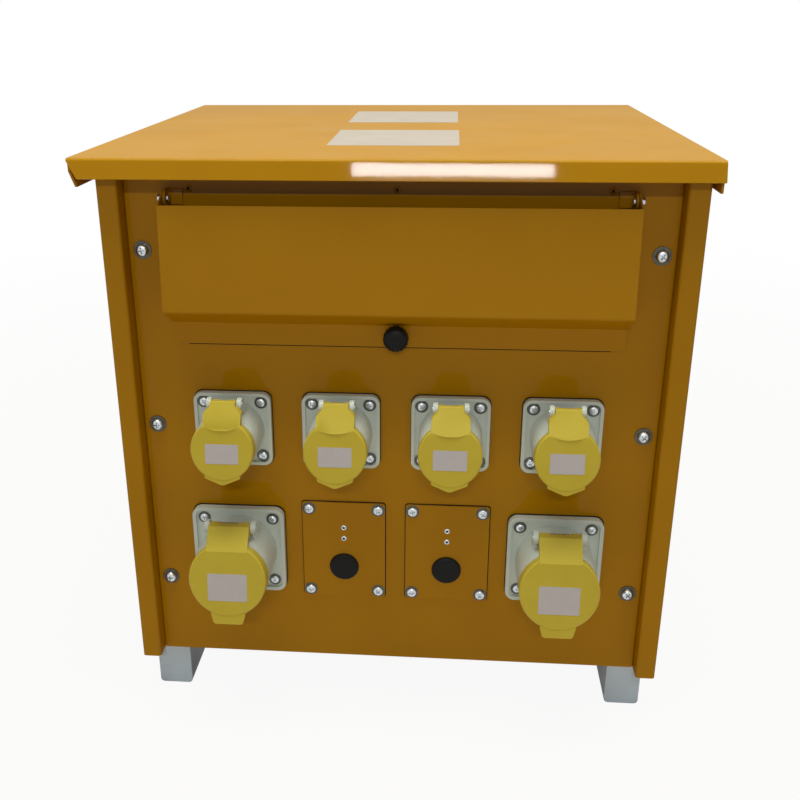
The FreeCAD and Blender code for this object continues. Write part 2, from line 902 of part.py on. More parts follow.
def flap():
    half_sheet = flap_sheet / 2.0
    lip_y = panel_front - flap_panel_gap - half_sheet
    bottom_y = panel_front - flap_face_bottom_reach + half_sheet
    top_y = panel_front - flap_face_top_reach + half_sheet
    run = [(lip_y, lip_bottom), (lip_y, lip_top), (bottom_y, face_bottom), (top_y, face_top)]
    corners, radii = folded_section(run, flap_sheet, bend_radius)
    folded = side_prism(corners, radii, -flap_half, flap_half)
    rear_y = panel_front - flap_panel_gap
    cheek_points = [(lip_y, lip_top), (bottom_y, face_bottom), (top_y, face_top),
                    (flap_axis_y, flap_axis_z + flap_ear_radius),
                    (rear_y, flap_axis_z - flap_ear_radius), (rear_y, lip_top)]
    cheek = side_prism(cheek_points, 0.0, flap_half - flap_sheet, flap_half)
    ear = rod_x(flap_axis_y, flap_axis_z, flap_ear_radius, flap_half - flap_sheet, flap_half)
    cheek = join([cheek, ear])
    bore = pin_bore_x(flap_axis_y, flap_axis_z, hinge_rivet_radius + hinge_running_gap,
                      -flap_half, flap_half)
    stud_hole = rod_y(0.0, knob_height_on_lip(), knob_stud_radius + hinge_running_gap,
                      lip_y - flap_sheet, lip_y + flap_sheet)
    return join([folded] + both_sides(cheek)).cut([bore, stud_hole])


def hinge_lug_faces():
    outer = flap_half - flap_sheet - hinge_side_gap
    return outer - hinge_lug_sheet, outer


def flap_hinge_lugs():
    """Folded lugs that stand on the panel inside the flap's cheeks and carry its rivets."""
    inner, outer = hinge_lug_faces()
    middle_x = (inner + outer) / 2.0
    foot_y = panel_front - hinge_lug_sheet / 2.0
    run = [(outer - hinge_lug_foot, foot_y), (middle_x, foot_y),
           (middle_x, flap_axis_y - flap_ear_radius)]
    corners, radii = folded_section(run, hinge_lug_sheet, bend_radius)
    low = flap_axis_z - flap_ear_radius
    high = flap_axis_z + flap_ear_radius
    folded = plan_prism(corners, radii, low, high)
    shape = rectangle(flap_axis_y - flap_ear_radius, panel_front, low, high)
    rounding = [flap_ear_radius, 0.0, 0.0, flap_ear_radius]
    folded = folded.common(side_prism(shape, rounding, outer - hinge_lug_foot, outer))
    lug = folded.cut(pin_x(flap_axis_y, flap_axis_z, hinge_rivet_radius, inner, outer))
    return group(both_sides(lug))


def flap_hinge_rivets():
    inner, outer = hinge_lug_faces()
    head_x = flap_half + hinge_side_gap
    shank = pin_x(flap_axis_y, flap_axis_z, hinge_rivet_radius, inner, head_x)
    head = turned(low_dome(hinge_head_radius, hinge_head_height, 0.0), Vector(0, 0, 1), 90)
    head = at(head, head_x, flap_axis_y, flap_axis_z)
    tail = pin_x(flap_axis_y, flap_axis_z, hinge_tail_radius, inner - hinge_tail_height, inner)
    return group(both_sides(join([shank, head, tail])))


def flap_knob():
    """Round grip, turned: neck on the lip, plain rim, domed front."""
    lip_front = panel_front - flap_panel_gap - flap_sheet
    seat = knob_seat_gap
    reach = seat + knob_neck_height + knob_height
    rim = reach - knob_dome
    ball = (knob_radius ** 2 + knob_dome ** 2) / (2 * knob_dome)
    half_way = math.asin(knob_radius / ball) / 2.0
    bulge = Vector(ball * math.sin(half_way), -(reach - ball * (1 - math.cos(half_way))), 0)
    start = Vector(knob_radius, -rim, 0)
    crown = Vector(0, -reach, 0)
    run = [crown, Vector(0, -seat, 0), Vector(knob_neck_radius, -seat, 0),
           Vector(knob_neck_radius, -seat - knob_neck_height, 0),
           Vector(knob_radius, -seat - knob_neck_height, 0), start]
    edges = [Part.makeLine(a, b) for a, b in zip(run[:-1], run[1:])]
    edges.append(Part.Arc(start, bulge, crown).toShape())
    profile = Part.Face(Part.Wire(edges))
    grip = profile.revolve(Vector(0, 0, 0), Vector(0, 1, 0), 360)
    grip = grip.cut(rod_y(0.0, 0.0, knob_stud_radius, -rim + knob_dome, -seat))
    return at(grip, 0.0, lip_front, knob_height_on_lip())


def knob_stud():
    lip_front = panel_front - flap_panel_gap - flap_sheet
    depth = knob_seat_gap + knob_neck_height + knob_height - 2 * knob_dome
    return rod_y(0.0, knob_height_on_lip(), knob_stud_radius, lip_front - depth,
                 panel_front + knob_stud_reach)


# Breakers, their rail and their bracket

def breaker_places():
    first = -(breaker_count - 1) * breaker_width / 2.0
    return [first + i * breaker_width for i in range(breaker_count)]


def breaker_bodies():
    """Two-pole breakers: body behind the panel, nose through the window, pocket for a toggle."""
    half = (breaker_width - breaker_gap) / 2.0
    top = breaker_body_height / 2.0
    nose = breaker_nose_height / 2.0
    slot = rail_width / 2.0 + rail_gap
    back = rail_face_y + breaker_clip_depth
    run = [(breaker_nose_y, -nose), (breaker_nose_y, nose), (breaker_shoulder_y, nose),
           (breaker_shoulder_y, top), (back, top), (back, slot), (rail_face_y, slot),
           (rail_face_y, -slot), (back, -slot), (back, -top), (breaker_shoulder_y, -top),
           (breaker_shoulder_y, -nose)]
    body = side_prism(run, 0.0, -half, half)
    pocket_half = toggle_width / 2.0 + toggle_side_gap
    pocket_back = toggle_axis_y + toggle_hub_radius + toggle_pocket_gap
    pocket = block(-pocket_half, pocket_half, breaker_nose_y, pocket_back,
                   -toggle_pocket_half, toggle_pocket_half)
    bearing = toggle_width / 2.0 + toggle_stub_length + toggle_side_gap
    bearings = pin_bore_x(toggle_axis_y, 0.0, toggle_stub_radius + hinge_running_gap,
                          -bearing, bearing)
    body = body.cut([pocket, bearings])
    return group([at(body, x, 0.0, breaker_row_z) for x in breaker_places()])


def toggle():
    """Linked toggle of one breaker, thrown up, with a stub at each end of its hub."""
    half = toggle_width / 2.0
    hub = small_rod_x(0.0, 0.0, toggle_hub_radius, -half, half, sleeve_sides)
    thick = toggle_lever_thickness / 2.0
    tip = toggle_tip_thickness / 2.0
    lever_points = [(0.0, -thick), (0.0, thick), (-toggle_lever_length, tip),
                    (-toggle_lever_length, -tip)]
    lever = side_prism(lever_points, 0.0, -half, half)
    stubs = pin_x(0.0, 0.0, toggle_stub_radius, -half - toggle_stub_length,
                  half + toggle_stub_length)
    whole = join([hub, lever, stubs])
    whole.rotate(Vector(0, 0, 0), Vector(1, 0, 0), -toggle_swing)
    return whole


def din_rail():
    """Top-hat rail with its open side to the front."""
    half = rail_width / 2.0
    step = half - rail_lip
    mid = rail_sheet / 2.0
    run = [(rail_face_y + mid, -half), (rail_face_y + mid, -step), (rail_back_y - mid, -step),
           (rail_back_y - mid, step), (rail_face_y + mid, step), (rail_face_y + mid, half)]
    corners, radii = folded_section(run, rail_sheet, rail_bend)
    length = breaker_count * breaker_width / 2.0 + rail_overrun
    return at(side_prism(corners, radii, -length, length), 0.0, 0.0, breaker_row_z)


def bracket_rivet_places():
    z = flap_axis_z + bracket_rivet_above_axis
    return [(-bracket_rivet_offset, z), (0.0, z), (bracket_rivet_offset, z)]


def breaker_bracket():
    """Folded hanger: riveted behind the panel, over the breakers and down behind the rail."""
    mid = bracket_sheet / 2.0
    rivet_z = flap_axis_z + bracket_rivet_above_axis
    web_z = breaker_row_z + breaker_body_height / 2.0 + bracket_over_breaker
    run = [(panel_back + mid, rivet_z + bracket_margin), (panel_back + mid, web_z),
           (rail_back_y + mid, web_z), (rail_back_y + mid, breaker_row_z - rail_width / 2.0)]
    corners, radii = folded_section(run, bracket_sheet, bend_radius)
    half = bracket_rivet_offset + bracket_margin
    plate = side_prism(corners, radii, -half, half)
    bracket_back = panel_back + bracket_sheet
    return plate.cut([small_rod_y(x, z, bracket_rivet_radius, panel_back, bracket_back)
                      for x, z in bracket_rivet_places()])


def rivet(x, z, radius, head, head_height, front, back):
    """Blind rivet through sheets from front to back, with a low round head."""
    shank = small_rod_y(x, z, radius, front, back)
    cap = at(low_dome(head, head_height, front), x, 0.0, z)
    tail = small_rod_y(x, z, radius + rivet_tail_swell, back, back + rivet_tail_length)
    return join([shank, cap, tail])


def bracket_rivets():
    return group([rivet(x, z, bracket_rivet_radius, bracket_rivet_head,
                        bracket_rivet_head_height, panel_front, panel_back + bracket_sheet)
                  for x, z in bracket_rivet_places()])


# Cover plates

def plate_screw_corners():
    return [(sx * plate_screw_x, sz * plate_screw_z) for sx in (-1, 1) for sz in (-1, 1)]


def cover_plate(x, z):
    front = panel_front - plate_sheet
    shape = rectangle(x - plate_width / 2.0, x + plate_width / 2.0,
                      z - plate_height / 2.0, z + plate_height / 2.0)
    plate = front_prism(shape, plate_corner, front, panel_front)
    tools = [small_rod_y(x + sx, z + sz, plate_screw_radius, front, panel_front)
             for sx, sz in plate_screw_corners()]
    tools += [small_rod_y(x, z + rise, plate_rivet_radius, front, panel_front)
              for rise in plate_rivet_rises]
    tools.append(small_rod_y(x, z - plug_drop, plug_hole_radius, front, panel_front,
                             sleeve_sides))
    return plate.cut(tools)


def low_dome(radius, height, front):
    """Low round head that narrows to its face, in few faces."""
    loops = []
    for size, y in ((radius, front), (radius * head_face_share, front - height)):
        wire = outline(ring_of_corners(size, head_sides), [0.0] * head_sides, on_front)
        wire.translate(Vector(0, y, 0))
        loops.append(wire)
    return Part.makeLoft(loops, True, True)


def pan_screw(x, z, radius, head, head_height, front, back):
    cap = low_dome(head, head_height, front)
    return join([at(cap, x, 0.0, z), small_rod_y(x, z, radius, front, back)])


def cover_plate_screws():
    front = panel_front - plate_sheet
    return group([pan_screw(x + sx, z + sz, plate_screw_radius, plate_screw_head,
                            plate_screw_head_height, front, panel_back + plate_screw_tail)
                  for x, z in plate_places for sx, sz in plate_screw_corners()])


def cover_plate_rivets():
    front = panel_front - plate_sheet
    return group([rivet(x, z + rise, plate_rivet_radius, plate_rivet_head,
                        plate_rivet_head_height, front, panel_front)
                  for x, z in plate_places for rise in plate_rivet_rises])


def blanking_plugs():
    """Push-in plugs: a low domed head and a hollow skirt through the plate."""
    front = panel_front - plate_sheet
    plugs = []
    for x, z in plate_places:
        z = z - plug_drop
        head = rod_y(x, z, plug_radius, front - plug_head_height, front)
        rim = [edge for edge in head.Edges
               if edge.BoundBox.YMax < front - plug_head_height + 0.01]
        head = head.makeChamfer(plug_bevel, rim)
        skirt = small_rod_y(x, z, plug_hole_radius, front, front + plug_depth, sleeve_sides)
        hollow = small_rod_y(x, z, plug_hole_radius - plug_wall, front, front + plug_depth,
                             sleeve_sides)
        plugs.append(join([head, skirt.cut(hollow)]))
    return group(plugs)


# Panel sockets. Each is built round its own middle, with the panel's face at y = 0 and
# the socket standing out towards -Y; "reach" is the distance in front of the panel.

def socket_screw_corners(size):
    offset = size["screw_offset"]
    return [(sx * offset, sz * offset) for sx in (-1, 1) for sz in (-1, 1)]


def square(half):
    return rectangle(-half, half, -half, half)


def cheek_span(size):
    inner = size["tab_top_half_width"] + pin_side_gap
    return inner, inner + size["cheek_thickness"]


def socket_housing(size):
    """Flange with a raised rim, shouldered body, two hinge cheeks and the tube behind."""
    half = size["flange_side"] / 2.0
    plate_reach = gasket_thickness + size["flange_thickness"]
    rim_reach = plate_reach + size["rim_height"]
    flange = front_prism(square(half), size["flange_corner"], -rim_reach, -gasket_thickness)
    inner_corner = size["flange_corner"] - size["rim_width"]
    hollow = front_prism(square(half - size["rim_width"]), inner_corner, -rim_reach,
                         -plate_reach)
    shoulder = size["collar_reach"] - body_shoulder
    body = rod_y(0.0, 0.0, size["base_radius"], -shoulder, -plate_reach)
    taper = Part.makeCone(size["base_radius"], size["collar_radius"], body_shoulder,
                          Vector(0, -shoulder, 0), Vector(0, -1, 0))
    rear = tube_y(0.0, 0.0, size["rear_radius"], -gasket_thickness, size["rear_length"])
    inner, outer = cheek_span(size)
    root = math.sqrt(size["base_radius"] ** 2 - outer ** 2) - cheek_sink
    pin_y = -size["pin_reach"]
    end_y = pin_y - size["cheek_radius"]
    high = size["pin_rise"] + size["cheek_radius"]
    low = size["pin_rise"] - size["cheek_radius"]
    end_round = size["cheek_radius"]
    cheek_points = [(pin_y + cheek_back_run, root), (pin_y + end_round / 2.0, high),
                    (end_y, high), (end_y, low), (pin_y + cheek_throat, low),
                    (pin_y + cheek_throat, root)]
    cheek = side_prism(cheek_points, [0, cheek_back_round, end_round, end_round, 0, 0],
                       inner, outer)
    pin_hole = pin_x(pin_y, size["pin_rise"], size["pin_radius"], -outer, outer)
    solid = join([flange.cut(hollow), body, taper, rear] + both_sides(cheek))
    floor = -plate_reach - socket_floor
    bore = rod_y(0.0, 0.0, size["bore_radius"], -size["collar_reach"], floor)
    rear_bore = tube_y(0.0, 0.0, size["carrier_radius"], floor, size["rear_length"])
    key = block(-keyway_width / 2.0, keyway_width / 2.0, -size["collar_reach"], floor,
                -size["bore_radius"] - keyway_depth, -size["bore_radius"] + keyway_depth)
    holes = [small_rod_y(x, z, socket_screw_radius, -plate_reach, -gasket_thickness)
             for x, z in socket_screw_corners(size)]
    return solid.cut([bore, rear_bore, key, pin_hole] + holes)


def contact_places(size):
    """Three contacts on a circle, the earth at the bottom right."""
    circle = size["contact_circle"]
    return [(circle * math.cos(math.radians(a)), circle * math.sin(math.radians(a)))
            for a in (-30.0, 90.0, 210.0)]


def socket_carrier(size):
    front = -size["collar_reach"] + size["carrier_recess"]
    core = tube_y(0.0, 0.0, size["carrier_radius"], front, size["rear_length"])
    return core.cut([small_rod_y(x, z, size["contact_radius"], front,
                                 size["rear_length"] - contact_end_gap)
                     for x, z in contact_places(size)])


def socket_contacts(size):
    front = -size["collar_reach"] + size["carrier_recess"] + contact_recess
    back = size["rear_length"] - contact_end_gap
    tubes = []
    for x, z in contact_places(size):
        tube = small_rod_y(x, z, size["contact_radius"], front, back)
        tubes.append(tube.cut(small_rod_y(x, z, size["contact_bore"], front,
                                         back - contact_floor)))
    return tubes


def socket_gasket(size):
    half = size["flange_side"] / 2.0 + gasket_margin
    plate = front_prism(square(half), size["flange_corner"], -gasket_thickness, 0.0)
    inner = size["screw_offset"] + socket_screw_radius + gasket_screw_gap
    return plate.cut(front_prism(square(inner), 0.0, -gasket_thickness, 0.0))


def socket_screws(size):
    front = -gasket_thickness - size["flange_thickness"]
    return [pan_screw(x, z, socket_screw_radius, socket_screw_head, socket_screw_head_height,
                      front, front + socket_screw_length)
            for x, z in socket_screw_corners(size)]


def hinge_pin(size):
    inner, outer = cheek_span(size)
    reach = outer + pin_overhang
    return pin_x(-size["pin_reach"], size["pin_rise"], size["pin_radius"], -reach, reach)


def spring_half_width(size):
    return size["tab_top_half_width"] / 2.0


def lid_spring(size):
    """Coil round the pin between the lid's two knuckles, drawn as its closed-wound sleeve."""
    half = spring_half_width(size)
    inner = size["pin_radius"] + spring_pin_gap
    outer = inner + spring_wall
    y = -size["pin_reach"]
    z = size["pin_rise"]
    coil = small_rod_x(y, z, outer, -half, half, sleeve_sides)
    return coil.cut(small_rod_x(y, z, inner, -half, half, sleeve_sides))


def lid_face(size, z, depth):
    """Reach of the lid's slanted outer face at height z, less a depth under it."""
    slope = math.tan(math.radians(lid_tilt))
    return size["lid_reach"] - (z - size["lid_rise"]) * slope - depth


def under_lid_face(size, back, depth):
    """Space between the plane at reach back and the slanted face, less a depth under it."""
    span = size["lid_reach"] + size["lid_radius"]
    points = [(-back, -span), (-lid_face(size, -span, depth), -span),
              (-lid_face(size, span, depth), span), (-back, span)]
    return side_prism(points, 0.0, -span, span)


def square_to_lid(size, shape):
    """A shape made round the line through the lid's middle, tilted as the lid's face is."""
    middle = Vector(0, -size["lid_reach"], size["lid_rise"])
    placed = shape.copy()
    placed.rotate(Vector(0, 0, 0), Vector(1, 0, 0), -lid_tilt)
    placed.translate(middle)
    return placed


def lid_disc(size, skirt_back):
    """Disc whose face is tilted, with a bevelled edge, cut off at the skirt's back."""
    radius = size["lid_radius"]
    bevel = Part.makeCone(radius - lid_edge_bevel, radius, lid_edge_bevel, Vector(0, 0, 0),
                          Vector(0, 1, 0))
    wall = rod_y(0.0, 0.0, radius, lid_edge_bevel, radius)
    disc = square_to_lid(size, join([bevel, wall]))
    return disc.common(under_lid_face(size, skirt_back, 0.0))


def lid_lug(size):
    """Finger lug under the disc, a small step behind its slanted face."""
    centre = size["lid_rise"]
    shoulder = centre - size["lug_shoulder"]
    tip = centre - size["lug_tip"]
    root = centre - lug_root
    points = [(-size["lug_half_width"], root), (-size["lug_half_width"], shoulder),
              (-size["lug_tip_half_width"], tip), (size["lug_tip_half_width"], tip),
              (size["lug_half_width"], shoulder), (size["lug_half_width"], root)]
    tip_round = min(lug_tip_round, size["lug_tip_half_width"])
    rounding = [0, lug_shoulder_round, tip_round, tip_round, lug_shoulder_round, 0]
    far = size["lid_reach"] + size["lid_radius"]
    lug = front_prism(points, rounding, -far, 0.0)
    slab = under_lid_face(size, 0.0, lug_step)
    slab = slab.cut(under_lid_face(size, 0.0, size["lug_thickness"]))
    return lug.common(slab)


def tab_foot(size):
    """Reach, as y, and height of the lowest point of the tab's face."""
    foot_z = size["tab_foot_rise"] - size["tab_foot_bow"]
    return -lid_face(size, foot_z, -size["tab_foot_proud"]), foot_z


def before_tab(size):
    """Space in front of the tab's sloping face, where the disc's edge is trimmed off."""
    foot_y, foot_z = tab_foot(size)
    far = size["lid_reach"] + size["lid_radius"]
    points = [(-size["tab_top_reach"], size["tab_top_rise"]), (foot_y, foot_z),
              (-far, foot_z), (-far, size["tab_top_rise"])]
    wide = size["tab_foot_half_width"]
    return side_prism(points, 0.0, -wide, wide)


def lid_tab(size, skirt_back):
    """Sloping tab from the disc up over the hinge, with the arm that runs back to the pin.
    Where it is wider than the gap between the cheeks, its wings lie in front of them."""
    pin_y = -size["pin_reach"]
    pin_z = size["pin_rise"]
    barrel = size["pin_radius"] + barrel_wall
    foot_y, foot_z = tab_foot(size)
    disc_top = size["lid_rise"] + size["lid_radius"] - lid_wall
    profile = [(-size["tab_top_reach"], size["tab_top_rise"]), (foot_y, foot_z),
               (-skirt_back - lid_wall, foot_z), (-skirt_back, disc_top),
               (pin_y, pin_z - barrel), (pin_y + barrel * 0.7, pin_z), (pin_y, pin_z + barrel)]
    rounding = [tab_fold_round, tab_foot_round, 0, 0, 0, 0, 0]
    wide = size["tab_foot_half_width"]
    narrow = size["tab_top_half_width"]
    arm = side_prism(profile, rounding, -wide, wide)
    knuckle = small_rod_x(pin_y, pin_z, barrel, -narrow, narrow, sleeve_sides)
    top = size["tab_top_rise"] + 1.0
    neck = size["tab_top_rise"] - tab_neck
    foot = size["tab_foot_rise"]
    if wide > narrow:
        corners = [(-narrow, top), (-narrow, neck), (-wide, neck - (wide - narrow)),
                   (-wide, foot), (0.0, foot - size["tab_foot_bow"]), (wide, foot),
                   (wide, neck - (wide - narrow)), (narrow, neck), (narrow, top)]
        corner = tab_corner_round
        round_off = [0, 0, corner, corner, tab_bow_round, corner, corner, 0, 0]
        cheek_front = pin_y - size["cheek_radius"] - pin_side_gap
        arm = arm.cut(both_sides(block(narrow, wide, cheek_front, 0.0, 0.0, top)))
    else:
        corners = [(-narrow, top), (-narrow, foot), (narrow, foot), (narrow, top)]
        round_off = [0, 1.0, 1.0, 0]
    far = size["lid_reach"] + size["lid_radius"]
    front_shape = front_prism(corners, round_off, -far, 0.0)
    return join([arm.common(front_shape), knuckle])


def socket_lid(size):
    """Sprung lid: tilted disc with a skirt round the collar and a step that seals on its rim,
    finger lug, and tab over the hinge."""
    skirt_back = size["collar_reach"] - lid_skirt_overlap
    far = size["lid_reach"] + size["lid_radius"]
    disc = lid_disc(size, skirt_back).cut(before_tab(size))
    outside = join([disc, lid_lug(size), lid_tab(size, skirt_back)])
    ring_back = size["collar_reach"] + lid_seal_gap
    widening = (size["base_radius"] - size["collar_radius"]) / body_shoulder
    skirt_radius = size["collar_radius"] + widening * lid_skirt_overlap + lid_skirt_gap
    skirt_inside = rod_y(0.0, 0.0, skirt_radius, -ring_back, -skirt_back)
    cavity = rod_y(0.0, 0.0, size["collar_radius"] - lid_seal_width, -far, -ring_back)
    cavity = cavity.common(under_lid_face(size, ring_back, lid_wall))
    pin_y = -size["pin_reach"]
    slot_half = spring_half_width(size) + pin_side_gap
    slot = small_rod_x(pin_y, size["pin_rise"],
                       size["pin_radius"] + barrel_wall + spring_slot_gap,
                       -slot_half, slot_half, sleeve_sides)
    bore = pin_bore_x(pin_y, size["pin_rise"], size["pin_radius"] + pin_running_gap, -far, far)
    return outside.cut([skirt_inside, cavity, slot, bore])


def sockets():
    rows = (("socket_16a", upper_socket_places, socket_16a),
            ("socket_32a", lower_socket_places, socket_32a))
    shared = {name: [] for name in ("socket_carriers", "socket_contacts", "socket_gaskets",
                                    "socket_screws", "socket_hinge_pins",
                                    "socket_lid_springs")}
    for title, places, size in rows:
        housing = socket_housing(size)
        cover = socket_lid(size)
        loose = {
            "socket_carriers": [socket_carrier(size)],
            "socket_contacts": socket_contacts(size),
            "socket_gaskets": [socket_gasket(size)],
            "socket_screws": socket_screws(size),
            "socket_hinge_pins": [hinge_pin(size)],
            "socket_lid_springs": [lid_spring(size)],
        }
        for number, (x, z) in enumerate(places, start=1):
            nodes[f"{title}_{number}_housing"] = at(housing, x, panel_front, z)
            nodes[f"{title}_{number}_lid"] = at(cover, x, panel_front, z)
            for name, pieces in loose.items():
                shared[name] += [at(piece, x, panel_front, z) for piece in pieces]
    for name, pieces in shared.items():
        nodes[name] = group(pieces)


# Supply inlet in the back wall

def cable_gland():
    z = cabinet_bottom + gland_height
    wall = cabinet_depth
    hexagon_end = wall + gland_hex_length
    body = front_prism(hexagon(gland_flats), 0.0, wall, hexagon_end)
    body = at(body, gland_offset, 0.0, z)
    dome = rod_y(gland_offset, z, gland_dome_radius, hexagon_end,
                 hexagon_end + gland_dome_length)
    rim = [edge for edge in dome.Edges
           if edge.BoundBox.YMin > hexagon_end + gland_dome_length - 0.01]
    dome = dome.makeChamfer(gland_dome_bevel, rim)
    thread = rod_y(gland_offset, z, gland_thread_radius, wall - gland_inside_length, wall)
    bore = rod_y(gland_offset, z, gland_bore_radius, wall - gland_inside_length,
                 hexagon_end + gland_dome_length)
    return join([body, dome, thread]).cut(bore)


def gland_locknut():
    z = cabinet_bottom + gland_height
    back = cabinet_depth - sheet
    nut = front_prism(hexagon(locknut_flats), 0.0, back - locknut_thickness, back)
    nut = at(nut, gland_offset, 0.0, z)
    return nut.cut(rod_y(gland_offset, z, gland_thread_radius, back - locknut_thickness, back))


# Transformer on the tray

def core_middle_y():
    return cabinet_depth / 2.0 + core_back_of_middle


def core_bottom():
    return tray_floor + core_lift


def core_bolt_places():
    half = core_width / 2.0 - core_bolt_inset
    low = core_bottom() + core_yoke / 2.0
    high = core_bottom() + core_height - core_yoke / 2.0
    return [(x, z) for x in (-half, half) for z in (low, high)]


def transformer_core():
    """Stack of E and I laminations with two windows, drawn as one stack."""
    y0 = core_middle_y() - core_stack / 2.0
    y1 = core_middle_y() + core_stack / 2.0
    z0 = core_bottom()
    stack = block(-core_width / 2.0, core_width / 2.0, y0, y1, z0, z0 + core_height)
    outer_limb = core_limb / 2.0
    windows = []
    for side in (-1, 1):
        edges = sorted((side * core_limb / 2.0, side * (core_width / 2.0 - outer_limb)))
        windows.append(block(edges[0], edges[1], y0, y1, z0 + core_yoke,
                             z0 + core_height - core_yoke))
    holes = [small_rod_y(x, z, core_bolt_radius, y0, y1) for x, z in core_bolt_places()]
    return stack.cut(windows + holes)


def transformer_windings():
    half_limb = core_limb / 2.0 + winding_gap / 2.0
    half_stack = core_stack / 2.0 + winding_gap / 2.0
    window = core_width / 2.0 - core_limb
    outer_x = core_limb / 2.0 + window - winding_gap
    outer_y = core_stack / 2.0 + winding_end_turn
    z0 = core_bottom() + core_yoke
    z1 = core_bottom() + core_height - core_yoke - winding_gap
    coil = plan_prism(rectangle(-outer_x, outer_x, -outer_y, outer_y), winding_corner, z0, z1)
    coil = coil.cut(block(-half_limb, half_limb, -half_stack, half_stack, z0, z1))
    return at(coil, 0.0, core_middle_y(), 0.0)


def core_clamps():
    """Four angles along the yokes; the lower two stand on the tray and carry the core."""
    half = core_width / 2.0 + clamp_overrun
    z0 = tray_floor
    z1 = core_bottom() + core_height + core_lift
    angles = []
    for front in (True, False):
        sign = -1.0 if front else 1.0
        face = core_middle_y() + sign * core_stack / 2.0
        mid = face + sign * clamp_thickness / 2.0
        away = face + sign * clamp_leg
        for lower in (True, False):
            up = 1.0 if lower else -1.0
            edge = z0 if lower else z1
            run = [(mid, edge + up * clamp_leg), (mid, edge + up * clamp_thickness / 2.0),
                   (away, edge + up * clamp_thickness / 2.0)]
            corners, radii = folded_section(run, clamp_thickness, bend_radius)
            angles.append(side_prism(corners, radii, -half, half))
    y0 = core_middle_y() - core_stack
    y1 = core_middle_y() + core_stack
    holes = [small_rod_y(x, z, core_bolt_radius, y0, y1) for x, z in core_bolt_places()]
    holes += [small_rod_z(x, y, m6_radius + hole_gap, tray_floor, tray_floor + clamp_thickness)
              for x, y in foot_bolt_places()]
    return group([angle.cut(holes) for angle in angles])


def foot_bolt_places():
    reach = core_stack / 2.0 + foot_bolt_from_core
    return [(x, core_middle_y() + side * reach)
            for x in (-foot_bolt_spread, foot_bolt_spread) for side in (-1, 1)]


def core_bolts():
    """Through bolts across the stack, and the bolts that hold its feet to the tray."""
    front = core_middle_y() - core_stack / 2.0 - clamp_thickness
    grip = core_stack + 2 * clamp_thickness
    bolt = hex_bolt(core_bolt_radius, core_bolt_flats, grip, core_bolt_tail)
    lying = turned(bolt, Vector(1, 0, 0), 90)
    pieces = [at(lying, x, front, z) for x, z in core_bolt_places()]
    foot = hex_bolt(m6_radius, m6_across_flats, tray_sheet + clamp_thickness, bolt_tail)
    pieces += [at(foot, x, y, tray_floor + clamp_thickness) for x, y in foot_bolt_places()]
    return group(pieces)


def terminal_block():
    """Row of terminals on the front upper clamp, each with its screw well."""
    base_z = core_bottom() + core_height + core_lift
    front = core_middle_y() - core_stack / 2.0 - clamp_leg
    body = block(-terminal_width / 2.0, terminal_width / 2.0, front, front + terminal_depth,
                 base_z, base_z + terminal_height)
    pitch = terminal_width / terminal_ways
    top = base_z + terminal_height
    middle = front + terminal_depth / 2.0
    half_well = terminal_well / 2.0
    half_slot = terminal_slot_width / 2.0
    tools = []
    for i in range(terminal_ways):
        x = -terminal_width / 2.0 + (i + 0.5) * pitch
        tools.append(block(x - half_well, x + half_well, middle - half_well,
                           middle + half_well, top - terminal_well_depth, top))
    for i in range(1, terminal_ways):
        x = -terminal_width / 2.0 + i * pitch
        tools.append(block(x - half_slot, x + half_slot, front, front + terminal_depth,
                           top - terminal_slot_depth, top))
    return body.cut(tools)


def earth_stud():
    """Brass stud through the tray's floor, with its nut."""
    x = earth_stud_x
    y = tray_front + earth_stud_behind_front
    under = cabinet_bottom - bolt_tail
    stud = small_rod_z(x, y, earth_stud_radius, under, tray_floor + earth_stud_length)
    nut = plan_prism(hexagon(m6_across_flats), 0.0, tray_floor, tray_floor + m6_nut_height)
    return join([stud, at(nut, x, y, 0.0)])


# Whole model

def build():
    nodes["cabinet_shell"] = cabinet_shell()
    nodes["base_tray"] = base_tray()
    nodes["base_screws"] = base_screws()
    nodes["front_panel"] = front_panel()
    panel_fixings()
    nodes["lid"] = lid()
    nodes["lid_nuts"] = lid_nuts()
    nodes["skid_right"] = skid_right()
    nodes["skid_left"] = mirrored(nodes["skid_right"])
    nodes["skid_end_caps"] = skid_end_caps()
    nodes["skid_bolts"] = skid_bolts()
    nodes["flap"] = flap()
    nodes["flap_hinge_lugs"] = flap_hinge_lugs()
    nodes["flap_hinge_rivets"] = flap_hinge_rivets()
    nodes["flap_knob"] = flap_knob()
    nodes["knob_stud"] = knob_stud()
    nodes["breaker_bodies"] = breaker_bodies()
    for number, x in enumerate(breaker_places(), start=1):
        nodes[f"breaker_toggle_{number}"] = at(toggle(), x, toggle_axis_y, breaker_row_z)
    nodes["din_rail"] = din_rail()
    nodes["breaker_bracket"] = breaker_bracket()
    nodes["bracket_rivets"] = bracket_rivets()
    for side, (x, z) in zip(("left", "right"), plate_places):
        nodes[f"cover_plate_{side}"] = cover_plate(x, z)
    nodes["cover_plate_screws"] = cover_plate_screws()
    nodes["cover_plate_rivets"] = cover_plate_rivets()
    nodes["blanking_plugs"] = blanking_plugs()
    sockets()
    nodes["cable_gland"] = cable_gland()
    nodes["gland_locknut"] = gland_locknut()
    nodes["transformer_core"] = transformer_core()
    nodes["transformer_windings"] = transformer_windings()
    nodes["core_clamps"] = core_clamps()
    nodes["core_bolts"] = core_bolts()
    nodes["terminal_block"] = terminal_block()
    nodes["earth_stud"] = earth_stud()


def spot_in_part(shift, x, y, z):
    """A place of the cabinet's frame in metres, in the part's own frame."""
    return [round((value + move) / 1000.0, 6) for value, move in zip((x, y, z), shift)]


